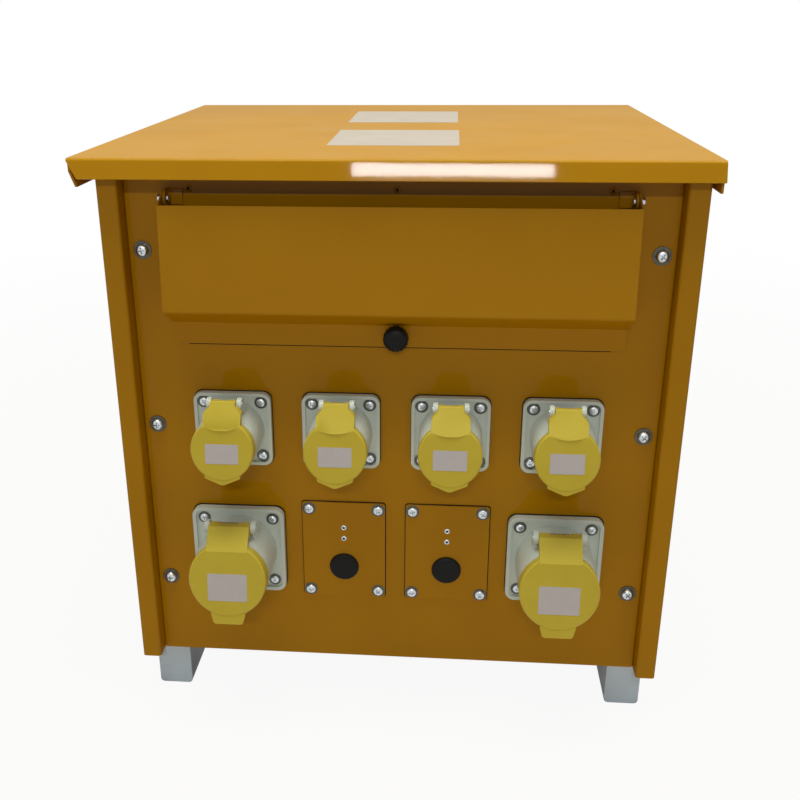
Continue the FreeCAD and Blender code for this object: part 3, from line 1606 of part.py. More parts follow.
def export():
    """Centre the model on its footprint, write each node, and print the joints' places."""
    whole = Part.makeCompound(list(nodes.values())).BoundBox
    shift = Vector(-(whole.XMin + whole.XMax) / 2.0, -(whole.YMin + whole.YMax) / 2.0,
                   -whole.ZMin)
    os.makedirs("parts", exist_ok=True)
    for name, shape in nodes.items():
        shape.translate(shift)
        shape.exportStep(f"parts/{name}.step")
    print("shift", [round(value, 4) for value in shift])
    print("flap axis", spot_in_part(shift, 0.0, flap_axis_y, flap_axis_z))
    print("knob axis", spot_in_part(shift, 0.0, flap_axis_y, knob_height_on_lip()))
    for x in breaker_places():
        print("toggle axis", spot_in_part(shift, x, toggle_axis_y, breaker_row_z))
    for places, size in ((upper_socket_places, socket_16a), (lower_socket_places, socket_32a)):
        for x, z in places:
            print("lid axis", spot_in_part(shift, x, panel_front - size["pin_reach"],
                                           z + size["pin_rise"]))


build()
export()
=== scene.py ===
# %% [markdown]
# A site transformer in a folded steel cabinet: golden yellow powder coat, six yellow lidded
# sockets with pale grey bodies, a hinged flap over the breakers and two grey runners.
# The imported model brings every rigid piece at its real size. This lesson gives those pieces
# soft edges and finishes, and models again the small turned and moulded things that carry
# the detail: screws, rivets, plugs, the knob, the springs, the labels and the seals.

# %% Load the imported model
import json
import math

import bmesh
import bpy
from mathutils import Matrix, Vector


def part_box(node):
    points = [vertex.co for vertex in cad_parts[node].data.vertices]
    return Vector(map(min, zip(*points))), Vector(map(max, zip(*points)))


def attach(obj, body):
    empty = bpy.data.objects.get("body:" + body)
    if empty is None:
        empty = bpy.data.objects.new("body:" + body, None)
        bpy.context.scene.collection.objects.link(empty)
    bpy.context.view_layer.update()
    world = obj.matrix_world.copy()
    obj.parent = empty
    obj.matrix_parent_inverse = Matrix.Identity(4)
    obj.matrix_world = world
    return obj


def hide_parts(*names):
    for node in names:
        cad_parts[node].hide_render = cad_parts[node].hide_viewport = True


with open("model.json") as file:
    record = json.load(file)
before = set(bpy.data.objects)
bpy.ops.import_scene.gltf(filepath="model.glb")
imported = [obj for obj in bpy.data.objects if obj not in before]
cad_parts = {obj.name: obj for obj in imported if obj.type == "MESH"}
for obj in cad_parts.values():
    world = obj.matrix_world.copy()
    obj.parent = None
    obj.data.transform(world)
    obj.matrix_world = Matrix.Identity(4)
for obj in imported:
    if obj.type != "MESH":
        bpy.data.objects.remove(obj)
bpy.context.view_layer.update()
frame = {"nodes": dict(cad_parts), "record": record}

nodes = frame["nodes"]
mm = 0.001

# %% [markdown]
# The camera stands where the photographer stood: a little to the right of the middle, above
# the cabinet and looking down. A real photograph has a slight roll and is often cropped off
# centre, so the camera gets a roll and a small lens shift instead of being moved.

# %% Camera
camera_place = Vector((0.0508, -1.0482, 0.6419))
camera_yaw = math.radians(5.148)
camera_pitch = math.radians(21.675)
camera_roll = math.radians(-0.462)
camera_lens = 45.5
camera_shift = (0.0475, 0.0147)


def camera_axes(yaw, pitch, roll):
    """Right, up and back of a camera turned left by yaw, down by pitch, then rolled."""
    level = Vector((math.cos(yaw), math.sin(yaw), 0.0))
    ahead = Vector((-math.sin(yaw) * math.cos(pitch), math.cos(yaw) * math.cos(pitch),
                    -math.sin(pitch)))
    above = level.cross(ahead)
    right = level * math.cos(roll) + above * math.sin(roll)
    return right, right.cross(ahead), -ahead


scene = bpy.context.scene
camera_data = bpy.data.cameras.new("camera")
camera_data.sensor_width = 36.0
camera_data.lens = camera_lens
camera_data.shift_x, camera_data.shift_y = camera_shift
camera = bpy.data.objects.new("camera", camera_data)
scene.collection.objects.link(camera)
turn = Matrix(camera_axes(camera_yaw, camera_pitch, camera_roll)).transposed()
camera.matrix_world = Matrix.Translation(camera_place) @ turn.to_4x4()
scene.camera = camera
print("camera", tuple(round(v, 3) for v in camera_place), "lens", camera_lens)

# %% [markdown]
# Light: the ceiling is bright and slightly in front of the cabinet, so the lid gets the
# full level and the front, in the shade of the lid's edge, about half of it. A strip window
# far behind the camera is mirrored in the lid's leaning front edge as a white streak. A
# mirrored lamp shows its own brightness, not its power, so the strip is small and very
# bright, and still adds little light to the front.

# %% Lamps
def area_lamp(name, place, target, size, energy, tint):
    """Rectangular lamp at a place, facing a target, with its size in metres."""
    data = bpy.data.lights.new(name, "AREA")
    data.shape = "RECTANGLE"
    data.size, data.size_y = size
    data.energy = energy
    data.color = tint
    lamp = bpy.data.objects.new(name, data)
    scene.collection.objects.link(lamp)
    lamp.location = place
    towards = Vector(target) - Vector(place)
    lamp.rotation_euler = towards.to_track_quat("-Z", "Y").to_euler()


ceiling_tint = (0.95, 1.0, 0.88)
window_tint = (1.0, 0.98, 0.97)
area_lamp("ceiling", (0.05, -0.27, 2.3), (0.0, -0.15, 0.5), (1.7, 0.9), 47.0,
          ceiling_tint)
area_lamp("strip window", (0.05, -3.0, 1.86), (0.05, -0.25, 0.5), (0.75, 0.05), 15.0,
          window_tint)

# %% [markdown]
# The world is a weak even fill for everything matt. For rays that the camera sends and for
# mirrored or see-through rays it is plain white, so polished metal shows the same pale
# studio that the picture has behind the cabinet.

# %% World
world = bpy.data.worlds.new("studio")
scene.world = world
world.use_nodes = True
fill_level = 0.2


def white_to_eye(tree, low, high):
    """A number that is high for camera, mirrored and see-through rays, low for others."""
    path = tree.nodes.new("ShaderNodeLightPath")
    largest = path.outputs["Is Camera Ray"]
    for label in ("Is Glossy Ray", "Is Transmission Ray"):
        either = tree.nodes.new("ShaderNodeMath")
        either.operation = "MAXIMUM"
        tree.links.new(largest, either.inputs[0])
        tree.links.new(path.outputs[label], either.inputs[1])
        largest = either.outputs[0]
    level = tree.nodes.new("ShaderNodeMapRange")
    level.inputs["To Min"].default_value = low
    level.inputs["To Max"].default_value = high
    tree.links.new(largest, level.inputs["Value"])
    return level.outputs["Result"]


eye_level = 1.0
sky = world.node_tree.nodes["Background"]
sky.inputs["Color"].default_value = (1.0, 1.0, 1.0, 1.0)
world.node_tree.links.new(white_to_eye(world.node_tree, fill_level, eye_level),
                          sky.inputs["Strength"])
scene.view_settings.view_transform = "Standard"
print("world", world.name, "fill", fill_level)

# %% [markdown]
# The floor is pale grey paper. Left alone it would throw far more light up at the cabinet
# than a workshop floor does, so its own colour stays moderate, and only the eye and
# mirrored rays see it lifted to white. Near the cabinet the lift is not quite full, so the
# shadow stays, and far away it is full, so that no horizon shows where the floor ends.

# %% Floor
floor_side = 30.0
floor_color = (0.62, 0.54, 0.45)
floor_lift, near_cabinet, far_away = 0.93, 0.5, 2.2
bm = bmesh.new()
bmesh.ops.create_grid(bm, x_segments=1, y_segments=1, size=floor_side / 2.0)
floor_mesh = bpy.data.meshes.new("floor")
bm.to_mesh(floor_mesh)
bm.free()
floor = bpy.data.objects.new("floor", floor_mesh)
scene.collection.objects.link(floor)
floor_material = bpy.data.materials.new("pale floor")
floor_material.use_nodes = True
tree = floor_material.node_tree
paper = tree.nodes["Principled BSDF"]
paper.inputs["Base Color"].default_value = (*floor_color, 1.0)
paper.inputs["Roughness"].default_value = 0.9
paper.inputs["Specular IOR Level"].default_value = 0.1
glow = tree.nodes.new("ShaderNodeEmission")
mix = tree.nodes.new("ShaderNodeMixShader")
away = tree.nodes.new("ShaderNodeVectorMath")
away.operation = "LENGTH"
tree.links.new(tree.nodes.new("ShaderNodeTexCoord").outputs["Object"], away.inputs[0])
lift = tree.nodes.new("ShaderNodeMapRange")
for label, value in (("From Min", near_cabinet), ("From Max", far_away),
                     ("To Min", floor_lift), ("To Max", 1.0)):
    lift.inputs[label].default_value = value
tree.links.new(away.outputs["Value"], lift.inputs["Value"])
seen = tree.nodes.new("ShaderNodeMath")
seen.operation = "MULTIPLY"
tree.links.new(white_to_eye(tree, 0.0, 1.0), seen.inputs[0])
tree.links.new(lift.outputs["Result"], seen.inputs[1])
tree.links.new(seen.outputs[0], mix.inputs[0])
tree.links.new(paper.outputs[0], mix.inputs[1])
tree.links.new(glow.outputs[0], mix.inputs[2])
tree.links.new(mix.outputs[0], tree.nodes["Material Output"].inputs["Surface"])
floor_mesh.materials.append(floor_material)
print("floor", floor_side, "m wide")

# %% [markdown]
# A surface effect that several materials share is a node group, built once. These small
# helpers add one node each and give back the socket that comes out of it. Positions are
# Object coordinates in metres, so every effect keeps its real size on every piece.

# %% Helpers for node trees
def new_group(name, inputs, outputs):
    """Empty group with its named sockets: the group, its inner inputs and its outputs."""
    group = bpy.data.node_groups.new(name, "ShaderNodeTree")
    for label, kind, value in inputs:
        socket = group.interface.new_socket(name=label, in_out="INPUT", socket_type=kind)
        if value is not None:
            socket.default_value = value
    for label, kind in outputs:
        group.interface.new_socket(name=label, in_out="OUTPUT", socket_type=kind)
    start = group.nodes.new("NodeGroupInput")
    end = group.nodes.new("NodeGroupOutput")
    return group, start.outputs, end.inputs


def feed(tree, socket, given):
    """A number goes on the socket itself, and another socket is linked to it."""
    if isinstance(given, (int, float)):
        socket.default_value = given
    else:
        tree.links.new(given, socket)


def add_noise(tree, position, scale, detail, roughness=0.55):
    """Noise from 0 to 1 at a position, with its scale in waves a metre."""
    noise = tree.nodes.new("ShaderNodeTexNoise")
    noise.inputs["Detail"].default_value = detail
    noise.inputs["Roughness"].default_value = roughness
    tree.links.new(position, noise.inputs["Vector"])
    feed(tree, noise.inputs["Scale"], scale)
    return noise.outputs["Fac"]


def add_range(tree, value, low, high, out_low, out_high):
    """The value's span from low to high, stretched to another span and clamped there."""
    node = tree.nodes.new("ShaderNodeMapRange")
    for label, given in (("From Min", low), ("From Max", high), ("To Min", out_low),
                         ("To Max", out_high)):
        feed(tree, node.inputs[label], given)
    tree.links.new(value, node.inputs["Value"])
    return node.outputs["Result"]


def add_math(tree, operation, first, second):
    node = tree.nodes.new("ShaderNodeMath")
    node.operation = operation
    feed(tree, node.inputs[0], first)
    feed(tree, node.inputs[1], second)
    return node.outputs[0]


def add_mix(tree, factor, first, second, blend="MIX"):
    """Blend of two colours, each a socket or three numbers."""
    node = tree.nodes.new("ShaderNodeMix")
    node.data_type = "RGBA"
    node.blend_type = blend
    sockets = {socket.identifier: socket for socket in node.inputs}
    feed(tree, sockets["Factor_Float"], factor)
    for label, given in (("A_Color", first), ("B_Color", second)):
        if isinstance(given, tuple):
            sockets[label].default_value = (*given, 1.0)
        else:
            tree.links.new(given, sockets[label])
    return {socket.identifier: socket for socket in node.outputs}["Result_Color"]


# %% [markdown]
# The first group is the skin that paint, plastic and plated metal all have: a slow mottling
# of colour and gloss, and a fine relief that breaks up highlights. On powder coat that
# relief is orange peel, on a moulding it is spark texture, on zinc it is the plating.

# %% Node group: surface skin
def skin_group():
    group, ins, outs = new_group(
        "surface skin",
        [("Position", "NodeSocketVector", None),
         ("Color", "NodeSocketColor", (0.5, 0.5, 0.5, 1.0)),
         ("Shade", "NodeSocketColor", (0.6, 0.55, 0.5, 1.0)),
         ("Mottle Scale", "NodeSocketFloat", 9.0),
         ("Mottle", "NodeSocketFloat", 0.2),
         ("Roughness", "NodeSocketFloat", 0.4),
         ("Roughness Spread", "NodeSocketFloat", 0.08),
         ("Skin Scale", "NodeSocketFloat", 700.0)],
        [("Color", "NodeSocketColor"), ("Roughness", "NodeSocketFloat"),
         ("Height", "NodeSocketFloat")])
    slow = add_noise(group, ins["Position"], ins["Mottle Scale"], 4.0)
    uneven = add_range(group, slow, 0.35, 0.7, 0.0, ins["Mottle"])
    color = add_mix(group, uneven, ins["Color"], ins["Shade"], "MULTIPLY")
    spread = add_math(group, "MULTIPLY", add_range(group, slow, 0.3, 0.7, -1.0, 1.0),
                      ins["Roughness Spread"])
    group.links.new(color, outs["Color"])
    group.links.new(add_math(group, "ADD", ins["Roughness"], spread), outs["Roughness"])
    group.links.new(add_noise(group, ins["Position"], ins["Skin Scale"], 2.0),
                    outs["Height"])
    return group


skin = skin_group()
print("group", skin.name)

# %% [markdown]
# The second group is what use leaves behind. Dust settles on faces that look up, in
# patches, and short scuffs run along the pieces that get handled or dragged. Both only shift
# the colour and the roughness a little: this cabinet is nearly new.

# %% Node group: traces of use
dust_color = (0.50, 0.44, 0.36)
scuff_color = (0.55, 0.53, 0.50)
dust_patch_scale, scuff_area_scale, scuff_scale = 14.0, 11.0, 45.0
scuff_turn, scuff_stretch = (0.3, 0.5, 0.2), (1.0, 9.0, 9.0)
worn_roughness = 0.3


def use_group():
    group, ins, outs = new_group(
        "traces of use",
        [("Position", "NodeSocketVector", None),
         ("Normal", "NodeSocketVector", None),
         ("Color", "NodeSocketColor", (0.5, 0.5, 0.5, 1.0)),
         ("Roughness", "NodeSocketFloat", 0.4),
         ("Dust", "NodeSocketFloat", 0.1),
         ("Scuffs", "NodeSocketFloat", 0.1)],
        [("Color", "NodeSocketColor"), ("Roughness", "NodeSocketFloat")])
    split = group.nodes.new("ShaderNodeSeparateXYZ")
    group.links.new(ins["Normal"], split.inputs[0])
    upward = add_range(group, split.outputs["Z"], 0.5, 1.0, 0.0, ins["Dust"])
    cloud = add_noise(group, ins["Position"], dust_patch_scale, 6.0, 0.65)
    patches = add_range(group, cloud, 0.35, 0.7, 0.2, 1.0)
    dust = add_math(group, "MULTIPLY", upward, patches)
    stretch = group.nodes.new("ShaderNodeMapping")
    stretch.inputs["Rotation"].default_value = scuff_turn
    stretch.inputs["Scale"].default_value = scuff_stretch
    group.links.new(ins["Position"], stretch.inputs["Vector"])
    streaks = add_range(group, add_noise(group, stretch.outputs[0], scuff_scale, 5.0, 0.7),
                        0.62, 0.7, 0.0, 1.0)
    where = add_range(group, add_noise(group, ins["Position"], scuff_area_scale, 2.0),
                      0.5, 0.65, 0.0, 1.0)
    scuffs = add_math(group, "MULTIPLY", add_math(group, "MULTIPLY", streaks, where),
                      ins["Scuffs"])
    dusty = add_mix(group, dust, ins["Color"], dust_color)
    scuffed = add_mix(group, scuffs, dusty, scuff_color)
    rougher = add_math(group, "ADD", ins["Roughness"],
                       add_math(group, "MULTIPLY", add_math(group, "ADD", dust, scuffs),
                                worn_roughness))
    group.links.new(scuffed, outs["Color"])
    group.links.new(rougher, outs["Roughness"])
    return group


use = use_group()
print("group", use.name)

# %% [markdown]
# Every finish is one Principled shader fed by the two groups. A value that is the same all
# over, such as the weight of the clear coat, is set on the shader's own socket.

# %% Materials
def make_material(name, color, shade=(0.6, 0.55, 0.5), mottle=0.2, mottle_scale=40.0,
                  roughness=0.4, spread=0.06, skin_scale=1500.0, skin_depth=0.00002,
                  dust=0.1, scuffs=0.1, metallic=0.0, specular=0.3, coat=0.0,
                  coat_roughness=0.1):
    """One finish. Scales are in waves a metre, and the skin's depth is in metres."""
    material = bpy.data.materials.new(name)
    material.use_nodes = True
    tree = material.node_tree
    shader = tree.nodes["Principled BSDF"]
    for label, value in (("Metallic", metallic), ("Specular IOR Level", specular),
                         ("Coat Weight", coat), ("Coat Roughness", coat_roughness)):
        shader.inputs[label].default_value = value
    where = tree.nodes.new("ShaderNodeTexCoord").outputs["Object"]
    facing_way = tree.nodes.new("ShaderNodeNewGeometry").outputs["Normal"]
    surface = tree.nodes.new("ShaderNodeGroup")
    surface.node_tree = skin
    for label, value in (("Color", (*color, 1.0)), ("Shade", (*shade, 1.0)),
                         ("Mottle Scale", mottle_scale), ("Mottle", mottle),
                         ("Roughness", roughness), ("Roughness Spread", spread),
                         ("Skin Scale", skin_scale)):
        surface.inputs[label].default_value = value
    traces = tree.nodes.new("ShaderNodeGroup")
    traces.node_tree = use
    traces.inputs["Dust"].default_value = dust
    traces.inputs["Scuffs"].default_value = scuffs
    bump = tree.nodes.new("ShaderNodeBump")
    bump.inputs["Distance"].default_value = skin_depth
    for source, socket in ((where, surface.inputs["Position"]),
                           (where, traces.inputs["Position"]),
                           (facing_way, traces.inputs["Normal"]),
                           (surface.outputs["Color"], traces.inputs["Color"]),
                           (surface.outputs["Roughness"], traces.inputs["Roughness"]),
                           (traces.outputs["Color"], shader.inputs["Base Color"]),
                           (traces.outputs["Roughness"], shader.inputs["Roughness"]),
                           (surface.outputs["Height"], bump.inputs["Height"]),
                           (bump.outputs["Normal"], shader.inputs["Normal"])):
        tree.links.new(source, socket)
    return material


finishes = {
    "golden_paint": make_material(
        "golden powder coat", (0.47, 0.22, 0.002), shade=(0.8, 0.74, 0.6), mottle=0.3,
        mottle_scale=9.0, roughness=0.5, skin_scale=420.0, skin_depth=0.00001, dust=0.08,
        scuffs=0.05, specular=0.0, coat=0.15, coat_roughness=0.035),
    "skid_grey": make_material(
        "runner paint", (0.22, 0.25, 0.28), mottle=0.45, mottle_scale=25.0, roughness=0.5,
        skin_scale=500.0, skin_depth=0.0001, dust=0.2, scuffs=0.5, specular=0.2),
    "cap_grey": make_material(
        "runner cap", (0.64, 0.76, 0.88), mottle=0.35, mottle_scale=30.0, roughness=0.45,
        skin_scale=900.0, skin_depth=0.00005, scuffs=0.4),
    "socket_grey": make_material(
        "pale grey moulding", (0.64, 0.70, 0.65), shade=(0.75, 0.78, 0.72), roughness=0.36,
        specular=0.35),
    "socket_yellow": make_material(
        "yellow moulding", (0.60, 0.465, 0.043), shade=(0.8, 0.74, 0.55), mottle=0.25,
        roughness=0.4, specular=0.22, scuffs=0.06),
    "zinc": make_material(
        "zinc plate", (0.66, 0.69, 0.70), shade=(0.5, 0.52, 0.55), mottle=0.6,
        mottle_scale=300.0, roughness=0.3, spread=0.1, skin_scale=2500.0, metallic=1.0),
    "black_plastic": make_material(
        "black moulding", (0.010, 0.010, 0.010), roughness=0.38, specular=0.12,
        skin_depth=0.00003, dust=0.02, scuffs=0.04),
    "rubber": make_material(
        "black rubber", (0.012, 0.012, 0.012), mottle=0.3, roughness=0.7, specular=0.08,
        skin_scale=1800.0, skin_depth=0.00005, dust=0.04),
    "brass": make_material(
        "turned brass", (0.80, 0.58, 0.25), mottle=0.4, mottle_scale=200.0, roughness=0.25,
        skin_scale=3000.0, skin_depth=0.00001, metallic=1.0),
    "breaker_grey": make_material(
        "breaker moulding", (0.60, 0.61, 0.58), roughness=0.42),
    "lamination": make_material(
        "varnished laminations", (0.12, 0.12, 0.13), mottle=0.5, mottle_scale=60.0,
        skin_scale=1200.0, skin_depth=0.0001, metallic=0.7),
    "winding": make_material(
        "varnished winding", (0.28, 0.14, 0.04), mottle=0.5, mottle_scale=60.0,
        roughness=0.35, skin_scale=900.0, skin_depth=0.0002),
}
label_white = make_material("white label film", (0.45, 0.38, 0.33),
                            shade=(0.9, 0.9, 0.88), roughness=0.5, skin_scale=900.0,
                            skin_depth=0.00001, dust=0.05, scuffs=0.05, specular=0.05)
# Washers coloured far darker than zinc: painted shade round the screw heads.
shaded_zinc_washers = make_material("zinc washers darkened as painted shade", (0.11, 0.11, 0.095), shade=(0.6, 0.6, 0.6),
                          mottle=0.6, mottle_scale=300.0, roughness=0.45, spread=0.1,
                          skin_scale=2500.0, metallic=1.0)
# Near black pin steel: a real pin stub, coloured as painted shade in the rivet hole.
shaded_pin_steel = make_material("pin steel darkened as painted shade", (0.02, 0.02, 0.02), mottle=0.4,
                           mottle_scale=300.0, roughness=0.6, skin_scale=2500.0,
                           dust=0.0, specular=0.1)
label_silver = make_material("silver label film", (0.56, 0.51, 0.52),
                             shade=(0.85, 0.85, 0.85), mottle=0.3, mottle_scale=120.0,
                             roughness=0.4, skin_scale=1200.0, skin_depth=0.00001,
                             dust=0.0, scuffs=0.1, specular=0.3)
slot_of = {entry["node"]: entry["material_slot"] for entry in frame["record"]["subparts"]}
body_of = {member: body
           for body, members in frame["record"]["behaviour"]["bodies"].items()
           for member in members}
for name, node in nodes.items():
    node.data.materials.clear()
    node.data.materials.append(finishes[slot_of[name]])
print("finishes", len(finishes), "on", len(nodes), "nodes")

# %% [markdown]
# A new piece sits at the origin with its place in its mesh, and rides on a body by name.
# Faces that turn by less than a set angle are shaded as one smooth skin, and sharper edges
# stay crisp. Weighted normals keep the flats between small bevels truly flat.

# %% Helpers for pieces
crease_angle = math.radians(38.0)
flat_angle = math.radians(1.0)
bevel_angle = math.radians(24.0)
weld_distance = 0.002 * mm


def link_piece(name, bm, body, slot, stands_for=(), material=None):
    """Object from a bmesh, which is used up."""
    for face in bm.faces:
        face.smooth = True
    for edge in bm.edges:
        if len(edge.link_faces) == 2 and edge.calc_face_angle() > crease_angle:
            edge.smooth = False
    mesh = bpy.data.meshes.new(name)
    bm.to_mesh(mesh)
    bm.free()
    mesh.materials.append(material or finishes[slot])
    piece = bpy.data.objects.new(name, mesh)
    scene.collection.objects.link(piece)
    if stands_for:
        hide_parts(*stands_for)
    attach(piece, body)
    normals = piece.modifiers.new("flats stay flat", "WEIGHTED_NORMAL")
    normals.keep_sharp = True
    print("piece", name, len(mesh.polygons), "faces")
    return piece


def welded_copy(name):
    """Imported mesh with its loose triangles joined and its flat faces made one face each."""
    bm = bmesh.new()
    bm.from_mesh(nodes[name].data)
    bmesh.ops.remove_doubles(bm, verts=bm.verts, dist=weld_distance)
    bmesh.ops.dissolve_limit(bm, angle_limit=flat_angle, verts=bm.verts,
                             edges=bm.edges, use_dissolve_boundaries=False,
                             delimit={"NORMAL"})
    return bm


def ease_edges(bm, width, segments=2):
    """Bevel every edge that turns by more than the bevel angle."""
    sharp = [edge for edge in bm.edges
             if len(edge.link_faces) == 2 and edge.calc_face_angle() > bevel_angle]
    bmesh.ops.bevel(bm, geom=sharp, offset=width, offset_type="OFFSET", segments=segments,
                    profile=0.5, affect="EDGES", clamp_overlap=True, material=-1)


# %% [markdown]
# A folded or moulded edge is never knife-sharp: it has a small radius that catches the
# light. Sheet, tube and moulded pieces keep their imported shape, and a copy of each gets
# that radius: a third of a millimetre on painted sheet, more on plastic.

# %% Soft edges on sheet, tube and moulded pieces
housing_width, socket_lid_width, toggle_width = 0.5, 0.6, 0.4
eased_width = {
    "lid": 0.35, "cabinet_shell": 0.25, "front_panel": 0.25, "flap": 0.35,
    "cover_plate_left": 0.4, "cover_plate_right": 0.4, "base_tray": 0.3,
    "flap_hinge_lugs": 0.3, "skid_left": 0.4, "skid_right": 0.4, "skid_end_caps": 1.0,
    "gland_locknut": 0.4, "breaker_bodies": 0.4, "din_rail": 0.2, "breaker_bracket": 0.25,
    "socket_gaskets": 0.2, "socket_carriers": 0.3, "panel_washers": 0.2, "panel_nuts": 0.3,
    "lid_nuts": 0.3, "base_screws": 0.3, "skid_bolts": 0.3, "core_bolts": 0.3,
    "core_clamps": 0.3, "terminal_block": 0.4, "earth_stud": 0.3,
    "transformer_windings": 1.0, "socket_hinge_pins": 0.2, "knob_stud": 0.2,
    "flap_hinge_rivets": 0.3}
for name in nodes:
    if name.endswith("_housing"):
        eased_width[name] = housing_width
    elif name.startswith("socket_") and name.endswith("_lid"):
        eased_width[name] = socket_lid_width
    elif name.startswith("breaker_toggle_"):
        eased_width[name] = toggle_width
# The panel washers take the darkened zinc, painted shade round the panel screws.
for name, width in eased_width.items():
    bm = welded_copy(name)
    ease_edges(bm, width * mm)
    link_piece(name + "_eased", bm, body_of[name], slot_of[name], (name,),
               shaded_zinc_washers if name == "panel_washers" else None)

# %% [markdown]
# The small fasteners are turned parts, so each is a profile spun round its axis. Their
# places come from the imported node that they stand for: every separate solid in the node is
# one fastener, and the box round it gives the middle, the front and the length.

# %% Helpers for turned pieces
def solids(name):
    """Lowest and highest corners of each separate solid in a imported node."""
    bm = bmesh.new()
    bm.from_mesh(nodes[name].data)
    bmesh.ops.remove_doubles(bm, verts=bm.verts, dist=weld_distance)
    left = set(bm.verts)
    boxes = []
    while left:
        reached = [left.pop()]
        for vert in reached:
            for edge in vert.link_edges:
                other = edge.other_vert(vert)
                if other in left:
                    left.remove(other)
                    reached.append(other)
        boxes.append((Vector([min(v.co[i] for v in reached) for i in range(3)]),
                      Vector([max(v.co[i] for v in reached) for i in range(3)])))
    bm.free()
    return sorted(boxes, key=lambda box: (round(box[0].z, 4), round(box[0].x, 4)))


def turned(profile, steps=36, ring=False):
    """Solid from (radius, height) points in millimetres, spun round Z. A ring's profile is
    closed on itself, and any other starts and ends on the axis."""
    bm = bmesh.new()
    points = [bm.verts.new((radius * mm, 0.0, height * mm)) for radius, height in profile]
    pairs = list(zip(points[:-1], points[1:]))
    if ring:
        pairs.append((points[-1], points[0]))
    for first, second in pairs:
        bm.edges.new((first, second))
    bmesh.ops.spin(bm, geom=bm.verts[:] + bm.edges[:], cent=(0.0, 0.0, 0.0),
                   axis=(0.0, 0.0, 1.0), angle=math.tau, steps=steps, use_merge=True)
    bmesh.ops.remove_doubles(bm, verts=bm.verts, dist=weld_distance)
    bmesh.ops.recalc_face_normals(bm, faces=bm.faces)
    return bm


def repeated(shape, places):
    """One bmesh with the shape at each place. The shape is used up."""
    pattern = bpy.data.meshes.new("pattern")
    shape.to_mesh(pattern)
    shape.free()
    whole = bmesh.new()
    for place in places:
        start = len(whole.verts)
        whole.from_mesh(pattern)
        whole.verts.ensure_lookup_table()
        bmesh.ops.transform(whole, matrix=place, verts=whole.verts[start:])
    bpy.data.meshes.remove(pattern)
    return whole


def cut_out(shape, cutter):
    """The shape with the cutter taken out. Both bmeshes are used up."""
    pair = []
    for label, bm in (("shape", shape), ("cutter", cutter)):
        mesh = bpy.data.meshes.new(label)
        bm.to_mesh(mesh)
        bm.free()
        thing = bpy.data.objects.new(label, mesh)
        scene.collection.objects.link(thing)
        pair.append(thing)
    step = pair[0].modifiers.new("cut", "BOOLEAN")
    step.operation = "DIFFERENCE"
    step.solver = "EXACT"
    step.use_self = True
    step.object = pair[1]
    result = bmesh.new()
    result.from_object(pair[0], bpy.context.evaluated_depsgraph_get())
    for thing in pair:
        mesh = thing.data
        bpy.data.objects.remove(thing)
        bpy.data.meshes.remove(mesh)
    return result


out_of_panel = Matrix.Rotation(math.radians(90.0), 4, "X")
turn_between = 47.0


def front_places(boxes, sunk):
    """Places on the solids' fronts, set back by sunk millimetres, each at its own turn."""
    places = []
    for index, (low, high) in enumerate(boxes):
        middle = Vector(((low.x + high.x) / 2.0, low.y + sunk * mm, (low.z + high.z) / 2.0))
        turn = Matrix.Rotation(math.radians(index * turn_between), 4, "Z")
        places.append(Matrix.Translation(middle) @ out_of_panel @ turn)
    return places


# %% [markdown]
# A cross recess is two tapered bars that cross. The head is turned first, and the bars are
# taken out of it with the Boolean modifier, because that keeps the round of the head.

# %% Screws
washer_clearance = 0.3


def cross_recess(reach, width, depth, top):
    """Two bars that cross and narrow downwards, standing a little above the head's top."""
    bm = bmesh.new()
    for quarter in (0.0, 90.0):
        made = bmesh.ops.create_cube(bm, size=1.0)["verts"]
        bmesh.ops.scale(bm, verts=made,
                        vec=(2.0 * reach * mm, width * mm, 2.0 * depth * mm))
        low = [vert for vert in made if vert.co.z < 0.0]
        bmesh.ops.scale(bm, vec=(0.62, 0.7, 1.0), verts=low)
        bmesh.ops.rotate(bm, cent=(0.0, 0.0, 0.0), verts=made,
                         matrix=Matrix.Rotation(math.radians(quarter), 3, "Z"))
        bmesh.ops.translate(bm, vec=(0.0, 0.0, top * mm), verts=made)
    return bm


def pan_screw(r, h, shank_radius, length, seat):
    """Pan head of radius r from seat up to h, with its shank below, and a cross recess."""
    rounding = [(0.0, 1.0), (0.42, 0.985), (0.7, 0.9), (0.88, 0.72), (0.97, 0.46),
                (1.0, 0.2), (0.985, 0.05), (0.94, 0.0)]
    profile = [(out * r, seat + up * (h - seat)) for out, up in rounding]
    profile += [(shank_radius, seat), (shank_radius, -length), (0.0, -length)]
    recess = cross_recess(0.62 * r, 0.25 * r, 0.75 * (h - seat), h)
    return cut_out(turned(profile), recess)


def screw_piece(node, head_height, shank_radius, swell=1.0, washer=None):
    """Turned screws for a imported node. A washer is its radius and thickness, and the head
    sits on it. Swell widens the head."""
    boxes = solids(node)
    low, high = boxes[0]
    head_radius = (high.x - low.x) / (2.0 * mm) * swell
    length = (high.y - low.y) / mm - head_height
    places = front_places(boxes, head_height)
    seat = washer[1] if washer else 0.0
    shape = pan_screw(head_radius, head_height, shank_radius, length, seat)
    link_piece(node + "_turned", repeated(shape, places), body_of[node], slot_of[node],
               (node,))
    if washer:
        outer, thickness = washer
        inner = shank_radius + washer_clearance
        flat = [(inner, 0.0), (outer - 0.2, 0.0), (outer, 0.12), (outer, thickness - 0.12),
                (outer - 0.2, thickness), (inner, thickness)]
        # The washer rings take the darkened zinc: painted shade round each head.
        link_piece(node + "_rings", repeated(turned(flat, ring=True), places),
                   body_of[node], slot_of[node], material=shaded_zinc_washers)


screw_piece("cover_plate_screws", 2.8, 2.5, swell=1.1, washer=(6.3, 0.6))
screw_piece("panel_screws", 4.0, 3.0)
screw_piece("socket_screws", 2.6, 2.5, washer=(5.8, 0.7))
